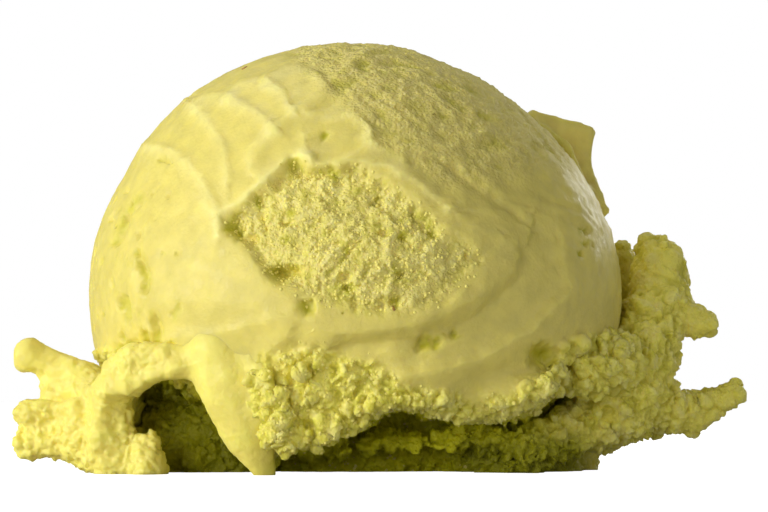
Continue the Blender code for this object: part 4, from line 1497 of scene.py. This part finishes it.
class Mass:
    """One mass of the scoop, with its finer skin."""

    ROUGH_VOXEL = 0.6
    TRIANGLES = 196000
    FOOT_SPARE = 0.6
    MELT_PASSES = 1

    def __init__(self, plan: Plan, finish: bpy.types.Material) -> None:
        """Makes the piece.

        Args:
            plan: What it is made of.
            finish: Its material.
        """
        self.plan = plan
        self.obj = self.rough_masses()
        self.carve()
        CrumbField.add_to(self.obj, plan)
        Clay.fuse(self.obj, plan.voxel)
        melt = self.obj.modifiers.new("melt", "SMOOTH")
        melt.iterations = self.MELT_PASSES
        Clay.settle(self.obj)
        self.push_relief()
        self.cut_flat(-self.FOOT_SPARE)
        made = len(self.obj.data.polygons)
        self.thin_out()
        self.cut_flat(0.0)
        self.store_masks()
        self.place()
        self.obj.name = plan.name
        self.obj.data.materials.clear()
        self.obj.data.materials.append(finish)
        self.obj.data.shade_smooth()
        log.info("%s: %d of %d triangles", plan.name, len(self.obj.data.polygons), made)

    def rough_masses(self) -> bpy.types.Object:
        """Fuses the mass's strokes.

        Returns:
            The object.
        """
        bm = bmesh.new()
        if self.plan.kind is Kind.DOME:
            Dome.add_to(bm)
        Clay.add_strokes(bm, self.plan.strokes)
        for keys in self.plan.flaps:
            Clay.add_hull(bm, keys)
        obj = Clay.object_of("rough", bm)
        Clay.fuse(obj, self.ROUGH_VOXEL)
        return obj

    def carve(self) -> None:
        """Cuts the caves and softens the creases."""
        bm = bmesh.new()
        Clay.add_strokes(bm, HOLLOWS)
        cutter = Clay.object_of("hollows", bm)
        Clay.fuse(cutter, self.ROUGH_VOXEL)
        cut = self.obj.modifiers.new("hollows", "BOOLEAN")
        cut.operation = "DIFFERENCE"
        cut.object = cutter
        Clay.settle(self.obj)
        bpy.data.objects.remove(cutter)
        Clay.fuse(self.obj, self.ROUGH_VOXEL)
        soften = self.obj.modifiers.new("soften", "SMOOTH")
        soften.iterations = 1
        Clay.settle(self.obj)

    def push_relief(self) -> None:
        """Moves each point along its normal by the relief."""
        points, normals = read_points(self.obj.data), read_points(self.obj.data, "normal")
        height = Relief(points, self.plan.kind).height()
        write_points(self.obj.data, points + normals * height[:, None])

    def cut_flat(self, height: float) -> None:
        """Cuts away what is below a height and closes the cut.

        Args:
            height: The height in millimetres.
        """
        bm = bmesh.new()
        bm.from_mesh(self.obj.data)
        everything = bm.verts[:] + bm.edges[:] + bm.faces[:]
        cut = bmesh.ops.bisect_plane(
            bm, geom=everything, plane_co=(0, 0, height), plane_no=(0, 0, 1), dist=1e-4, clear_inner=True
        )
        rim = [g for g in cut["geom_cut"] if isinstance(g, bmesh.types.BMEdge)]
        bmesh.ops.triangle_fill(bm, use_beauty=True, edges=rim, normal=(0, 0, -1))
        bmesh.ops.triangulate(bm, faces=[f for f in bm.faces if len(f.verts) > 3])
        bm.to_mesh(self.obj.data)
        bm.free()

    def thin_out(self) -> None:
        """Thins the skin to about as many triangles as TRIANGLES, where it has more.
        Leaves no more triangles than a piece may have.
        """
        fewer = self.obj.modifiers.new("fewer", "DECIMATE")
        fewer.ratio = min(1.0, self.TRIANGLES / len(self.obj.data.polygons))
        Clay.settle(self.obj)

    def store_masks(self) -> None:
        """Stores the masks that the material and the strewn pieces read."""
        relief = Relief(read_points(self.obj.data), self.plan.kind)
        relief.height()
        for mask in Mask:
            layer = self.obj.data.attributes.new(mask.value, "FLOAT", "POINT")
            layer.data.foreach_set("value", getattr(relief, mask.value).astype(np.float32))

    def place(self) -> None:
        """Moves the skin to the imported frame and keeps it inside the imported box."""
        points = (read_points(self.obj.data) + FRAME_MOVE) * MM
        low, high = (np.array(corner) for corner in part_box(NODE))
        log.info("%s before clipping, mm: %s to %s", self.plan.name, points.min(0) / MM, points.max(0) / MM)
        write_points(self.obj.data, np.clip(points, low, high))


def strokes_named(strokes: tuple[Stroke, ...], *names: str) -> tuple[Stroke, ...]:
    """Picks strokes by name.

    Args:
        strokes: All of them.
        *names: The ones wanted.

    Returns:
        The strokes with those names.
    """
    return tuple(stroke for stroke in strokes if stroke.name in names)


# What is kept waxy and free of crumbs, what hangs from the lip, and what the right skirt is made of
SMOOTH_LUMPS = strokes_named(CRUMBLY_SKIRT, "right_knob", "upper_horn", "lower_horn")
LIP = ("lip_tip", "front_shelf", "shelf_drip", "torn_edge")
RIGHT = tuple(stroke.name for stroke in CRUMBLY_SKIRT if stroke.name not in (*LIP, "cave_lumps"))
PLANS = (
    Plan("scoop_dome", Kind.DOME, FOOT + strokes_named(CRUMBLY_SKIRT, *LIP), 0.21, 1200, 1500),
    Plan("curl", Kind.CURL, (CURL_ROLL,), 0.2, flaps=CURL),
    Plan("creamy_skirt", Kind.CREAMY, CREAMY_SKIRT, 0.17),
    Plan("crumbly_skirt", Kind.CRUMBLY, strokes_named(CRUMBLY_SKIRT, *RIGHT), 0.2, 1000),
    Plan("cave_lumps", Kind.CRUMBLY, strokes_named(CRUMBLY_SKIRT, "cave_lumps"), 0.2, 300),
)


class Strewn:
    """Small grains scattered over the skin by a node tree, all made real."""

    @dataclass(frozen=True)
    class Kind:
        """One kind of grain.

        Attributes:
            name: The piece's name.
            mask: Where the grains lie.
            per_area: How many there are to a square metre where the mask is full.
            radius: The smallest and largest radius in metres.
            seed: The draw.
            subdivisions: How round they are.
        """

        name: str
        mask: Mask
        per_area: float
        radius: Point
        seed: int
        subdivisions: int

    SUNK = 0.45

    def __init__(self, skin: bpy.types.Object, kind: "Strewn.Kind", material: bpy.types.Material) -> None:
        """Makes the piece.

        Args:
            skin: What the grains lie on.
            kind: What they are.
            material: Their material.
        """
        self.kind = kind
        self.material = material
        self.obj = bpy.data.objects.new(kind.name, skin.data.copy())
        bpy.context.scene.collection.objects.link(self.obj)
        modifier = self.obj.modifiers.new("strew", "NODES")
        modifier.node_group = self.tree()
        values = {"Per Area": kind.per_area, "Smallest": kind.radius[0], "Largest": kind.radius[1],
                  "Seed": kind.seed}
        for item in modifier.node_group.interface.items_tree:
            if item.item_type == "SOCKET" and item.in_out == "INPUT" and item.name in values:
                modifier[item.identifier] = values[item.name]
        Clay.settle(self.obj)
        self.obj.data.shade_smooth()
        self.keep_inside()
        log.info("%s: %d faces", kind.name, len(self.obj.data.polygons))

    def tree(self) -> bpy.types.NodeTree:
        """Builds the node tree.

        Returns:
            The tree.
        """
        tree = bpy.data.node_groups.new(f"strew_{self.kind.name}", "GeometryNodeTree")
        tree.interface.new_socket("Geometry", in_out="INPUT", socket_type="NodeSocketGeometry")
        for name in ("Per Area", "Smallest", "Largest"):
            tree.interface.new_socket(name, in_out="INPUT", socket_type="NodeSocketFloat")
        tree.interface.new_socket("Seed", in_out="INPUT", socket_type="NodeSocketInt")
        tree.interface.new_socket("Geometry", in_out="OUTPUT", socket_type="NodeSocketGeometry")
        nodes, links = tree.nodes, tree.links
        given, out = nodes.new("NodeGroupInput"), nodes.new("NodeGroupOutput")
        where = nodes.new("GeometryNodeInputNamedAttribute")
        where.data_type = "FLOAT"
        where.inputs["Name"].default_value = self.kind.mask.value
        density = nodes.new("ShaderNodeMath")
        density.operation = "MULTIPLY"
        links.new(where.outputs["Attribute"], density.inputs[0])
        links.new(given.outputs["Per Area"], density.inputs[1])
        spread = nodes.new("GeometryNodeDistributePointsOnFaces")
        links.new(given.outputs["Geometry"], spread.inputs["Mesh"])
        links.new(density.outputs[0], spread.inputs["Density"])
        links.new(given.outputs["Seed"], spread.inputs["Seed"])
        ball = nodes.new("GeometryNodeMeshIcoSphere")
        ball.inputs["Radius"].default_value = 1.0
        ball.inputs["Subdivisions"].default_value = self.kind.subdivisions
        size = nodes.new("FunctionNodeRandomValue")
        size.data_type = "FLOAT"
        links.new(given.outputs["Smallest"], size.inputs[2])
        links.new(given.outputs["Largest"], size.inputs[3])
        links.new(given.outputs["Seed"], size.inputs["Seed"])
        turn = nodes.new("FunctionNodeRandomValue")
        turn.data_type = "FLOAT_VECTOR"
        turn.inputs[1].default_value = (math.tau, math.tau, math.tau)
        links.new(given.outputs["Seed"], turn.inputs["Seed"])
        depth = nodes.new("ShaderNodeMath")
        depth.operation = "MULTIPLY"
        depth.inputs[1].default_value = -self.SUNK
        links.new(size.outputs[1], depth.inputs[0])
        inward = nodes.new("ShaderNodeVectorMath")
        inward.operation = "SCALE"
        links.new(spread.outputs["Normal"], inward.inputs[0])
        links.new(depth.outputs[0], inward.inputs["Scale"])
        sink = nodes.new("GeometryNodeSetPosition")
        links.new(spread.outputs["Points"], sink.inputs["Geometry"])
        links.new(inward.outputs[0], sink.inputs["Offset"])
        put = nodes.new("GeometryNodeInstanceOnPoints")
        links.new(sink.outputs["Geometry"], put.inputs["Points"])
        links.new(ball.outputs["Mesh"], put.inputs["Instance"])
        links.new(turn.outputs[0], put.inputs["Rotation"])
        links.new(size.outputs[1], put.inputs["Scale"])
        real = nodes.new("GeometryNodeRealizeInstances")
        links.new(put.outputs["Instances"], real.inputs["Geometry"])
        finish = nodes.new("GeometryNodeSetMaterial")
        finish.inputs["Material"].default_value = self.material
        links.new(real.outputs["Geometry"], finish.inputs["Geometry"])
        links.new(finish.outputs["Geometry"], out.inputs["Geometry"])
        return tree

    def keep_inside(self) -> None:
        """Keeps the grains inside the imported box."""
        low, high = (np.array(corner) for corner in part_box(NODE))
        write_points(self.obj.data, np.clip(read_points(self.obj.data), low, high))


# What each kind of grain lies on
STREWN = (
    ("scoop_dome", Strewn.Kind("patch_grains", Mask.PATCH, 3.0e6, (0.00010, 0.00024), 3, 2)),
    ("scoop_dome", Strewn.Kind("curd_grains", Mask.CURD, 1.0e6, (0.00010, 0.00024), 4, 2)),
)


class Fleck:
    """A thin brown fleck of nut skin that lies on the dome."""

    THICKNESS = 0.3

    def __init__(self, name: str, skin: bpy.types.Object, place: tuple[float, float, float],
                 material: bpy.types.Material) -> None:
        """Makes the piece.

        Args:
            name: The piece's name.
            skin: What it lies on.
            place: Where the eye sees it, across and up, and its radius, in millimetres.
            material: Its material.
        """
        across, up, radius = place
        eye = (Vector(EYE) + Vector(FRAME_MOVE)) * MM
        aim = (Vector((across, 0.0, up)) + Vector(FRAME_MOVE)) * MM
        _, point, normal, _ = skin.ray_cast(eye, (aim - eye).normalized())
        bm = bmesh.new()
        bmesh.ops.create_icosphere(bm, subdivisions=3, radius=radius * MM)
        bm.transform(Matrix.Diagonal((1.0, 0.6, self.THICKNESS, 1.0)))
        bm.transform(normal.to_track_quat("Z", "X").to_matrix().to_4x4())
        bm.transform(Matrix.Translation(point))
        self.obj = Clay.object_of(name, bm)
        points = read_points(self.obj.data)
        uneven = 0.12 * radius * Noise.grain(points / MM, 0.35, 141, 2)
        write_points(self.obj.data, points + read_points(self.obj.data, "normal") * (uneven * MM)[:, None])
        self.obj.data.materials.append(material)
        self.obj.data.shade_smooth()
        log.info("%s at %s", name, tuple(point))


@dataclass(frozen=True)
class Lamp:
    """A square soft light aimed at the scoop.

    Attributes:
        name: Its name.
        place: Where it is, in metres.
        size: Its side in metres.
        power: Its power in watts.
        tint: Its colour.
    """

    name: str
    place: tuple[float, float, float]
    size: float
    power: float
    tint: Tone


class Studio:
    """The camera, the pale floor and backdrop, and the lights."""

    SENSOR = 36.0
    FRAME_WIDTH = 768.0
    LOOK_AT_DOWN = 256.0
    FLOOR_SIZE, FLOOR_TONE, FLOOR_ROUGHNESS = 6.0, (0.60, 0.60, 0.58), 0.8
    SKY_TONE, SKY_STRENGTH = (1.0, 0.98, 0.95), 0.10
    AIM = (0.0, 0.0, 0.02)
    LAMPS = (
        Lamp("key", (-0.61, -0.30, 0.18), 0.30, 3.5, (1.0, 0.99, 0.95)),
        Lamp("fill", (0.56, -0.40, 0.26), 0.45, 0.68, (1.0, 0.99, 0.95)),
        Lamp("low_fill", (-0.26, -0.60, 0.09), 0.25, 1.05, (1.0, 0.99, 0.95)),
        Lamp("crown", (-0.16, 0.20, 0.74), 0.30, 1.2, (1.0, 0.98, 0.95)),
        Lamp("rim", (0.36, 0.56, 0.26), 0.25, 1.0, (1.0, 0.98, 0.93)),
    )

    def __init__(self) -> None:
        """Makes everything."""
        self.middle = EYE[0] + FRAME_MOVE[0]
        self.camera()
        self.floor()
        self.world()
        self.lights()
        bpy.context.scene.view_settings.view_transform = "Standard"

    def camera(self) -> None:
        """Makes the camera at the photographed angle."""
        data = bpy.data.cameras.new("camera")
        data.sensor_width = self.SENSOR
        data.lens = self.SENSOR * -EYE[1] / (self.FRAME_WIDTH * PIXEL)
        data.clip_start = 0.01
        camera = bpy.data.objects.new("camera", data)
        camera.location = Vector((self.middle, EYE[1] + FRAME_MOVE[1], EYE[2])) * MM
        target = Vector((self.middle, FRAME_MOVE[1], (FLOOR_DOWN - self.LOOK_AT_DOWN) * PIXEL)) * MM
        camera.rotation_euler = (target - camera.location).to_track_quat("-Z", "Y").to_euler()
        bpy.context.scene.collection.objects.link(camera)
        bpy.context.scene.camera = camera

    def floor(self) -> None:
        """Makes the pale floor."""
        bm = bmesh.new()
        bmesh.ops.create_grid(bm, x_segments=1, y_segments=1, size=self.FLOOR_SIZE)
        floor = Clay.object_of("floor", bm)
        material = bpy.data.materials.new("pale_floor")
        material.use_nodes = True
        shader = material.node_tree.nodes["Principled BSDF"]
        shader.inputs["Base Color"].default_value = (*self.FLOOR_TONE, 1.0)
        shader.inputs["Roughness"].default_value = self.FLOOR_ROUGHNESS
        shader.inputs["Emission Color"].default_value = (1.0, 1.0, 1.0, 1.0)
        path = material.node_tree.nodes.new("ShaderNodeLightPath")
        seen = material.node_tree.nodes.new("ShaderNodeMath")
        seen.operation = "MULTIPLY"
        seen.inputs[1].default_value = 1.0
        material.node_tree.links.new(path.outputs["Is Camera Ray"], seen.inputs[0])
        material.node_tree.links.new(seen.outputs[0], shader.inputs["Emission Strength"])
        floor.data.materials.append(material)

    def world(self) -> None:
        """Lights the surroundings softly and shows them white."""
        world = bpy.data.worlds.new("studio")
        world.use_nodes = True
        tree = world.node_tree
        sky = tree.nodes["Background"]
        sky.inputs["Color"].default_value = (*self.SKY_TONE, 1.0)
        sky.inputs["Strength"].default_value = self.SKY_STRENGTH
        seen = tree.nodes.new("ShaderNodeBackground")
        seen.inputs["Color"].default_value = (1.0, 1.0, 1.0, 1.0)
        seen.inputs["Strength"].default_value = 1.0
        path = tree.nodes.new("ShaderNodeLightPath")
        either = tree.nodes.new("ShaderNodeMixShader")
        tree.links.new(path.outputs["Is Camera Ray"], either.inputs[0])
        tree.links.new(sky.outputs[0], either.inputs[1])
        tree.links.new(seen.outputs[0], either.inputs[2])
        tree.links.new(either.outputs[0], tree.nodes["World Output"].inputs["Surface"])
        bpy.context.scene.world = world

    def light(self, lamp: Lamp) -> None:
        """Makes one light.

        Args:
            lamp: What it is.
        """
        data = bpy.data.lights.new(lamp.name, "AREA")
        data.size = lamp.size
        data.energy = lamp.power
        data.color = lamp.tint
        obj = bpy.data.objects.new(lamp.name, data)
        obj.location = lamp.place
        obj.rotation_euler = (Vector(self.AIM) - obj.location).to_track_quat("-Z", "Y").to_euler()
        bpy.context.scene.collection.objects.link(obj)

    def lights(self) -> None:
        """Makes the key from the left, the fills from the front, and the crown and rim from behind."""
        for lamp in self.LAMPS:
            self.light(lamp)


def main() -> None:
    """Builds the scene."""
    logging.basicConfig(level=logging.INFO, format="%(name)s: %(message)s")
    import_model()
    Studio()
    dense = GelatoFinish("dense_gelato", DENSE_SCATTER).material
    airy = GelatoFinish("melting_gelato", AIRY_SCATTER).material
    finishes = {Kind.DOME: dense, Kind.CREAMY: dense, Kind.CURL: airy, Kind.CRUMBLY: airy}
    masses = {plan.name: Mass(plan, finishes[plan.kind]).obj for plan in PLANS}
    grain = ICE_GRAIN.material()
    pieces = list(masses.values()) + [Strewn(masses[name], kind, grain).obj for name, kind in STREWN]
    skin_of_nuts = NUT_SKIN.material()
    for number, place in enumerate(FLECKS, 1):
        pieces.append(Fleck(f"nut_skin_{number}", masses["scoop_dome"], place, skin_of_nuts).obj)
    for piece in pieces:
        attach(piece, BODY)
    for piece in masses.values():
        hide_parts(NODE)


if __name__ == "__main__":
    main()
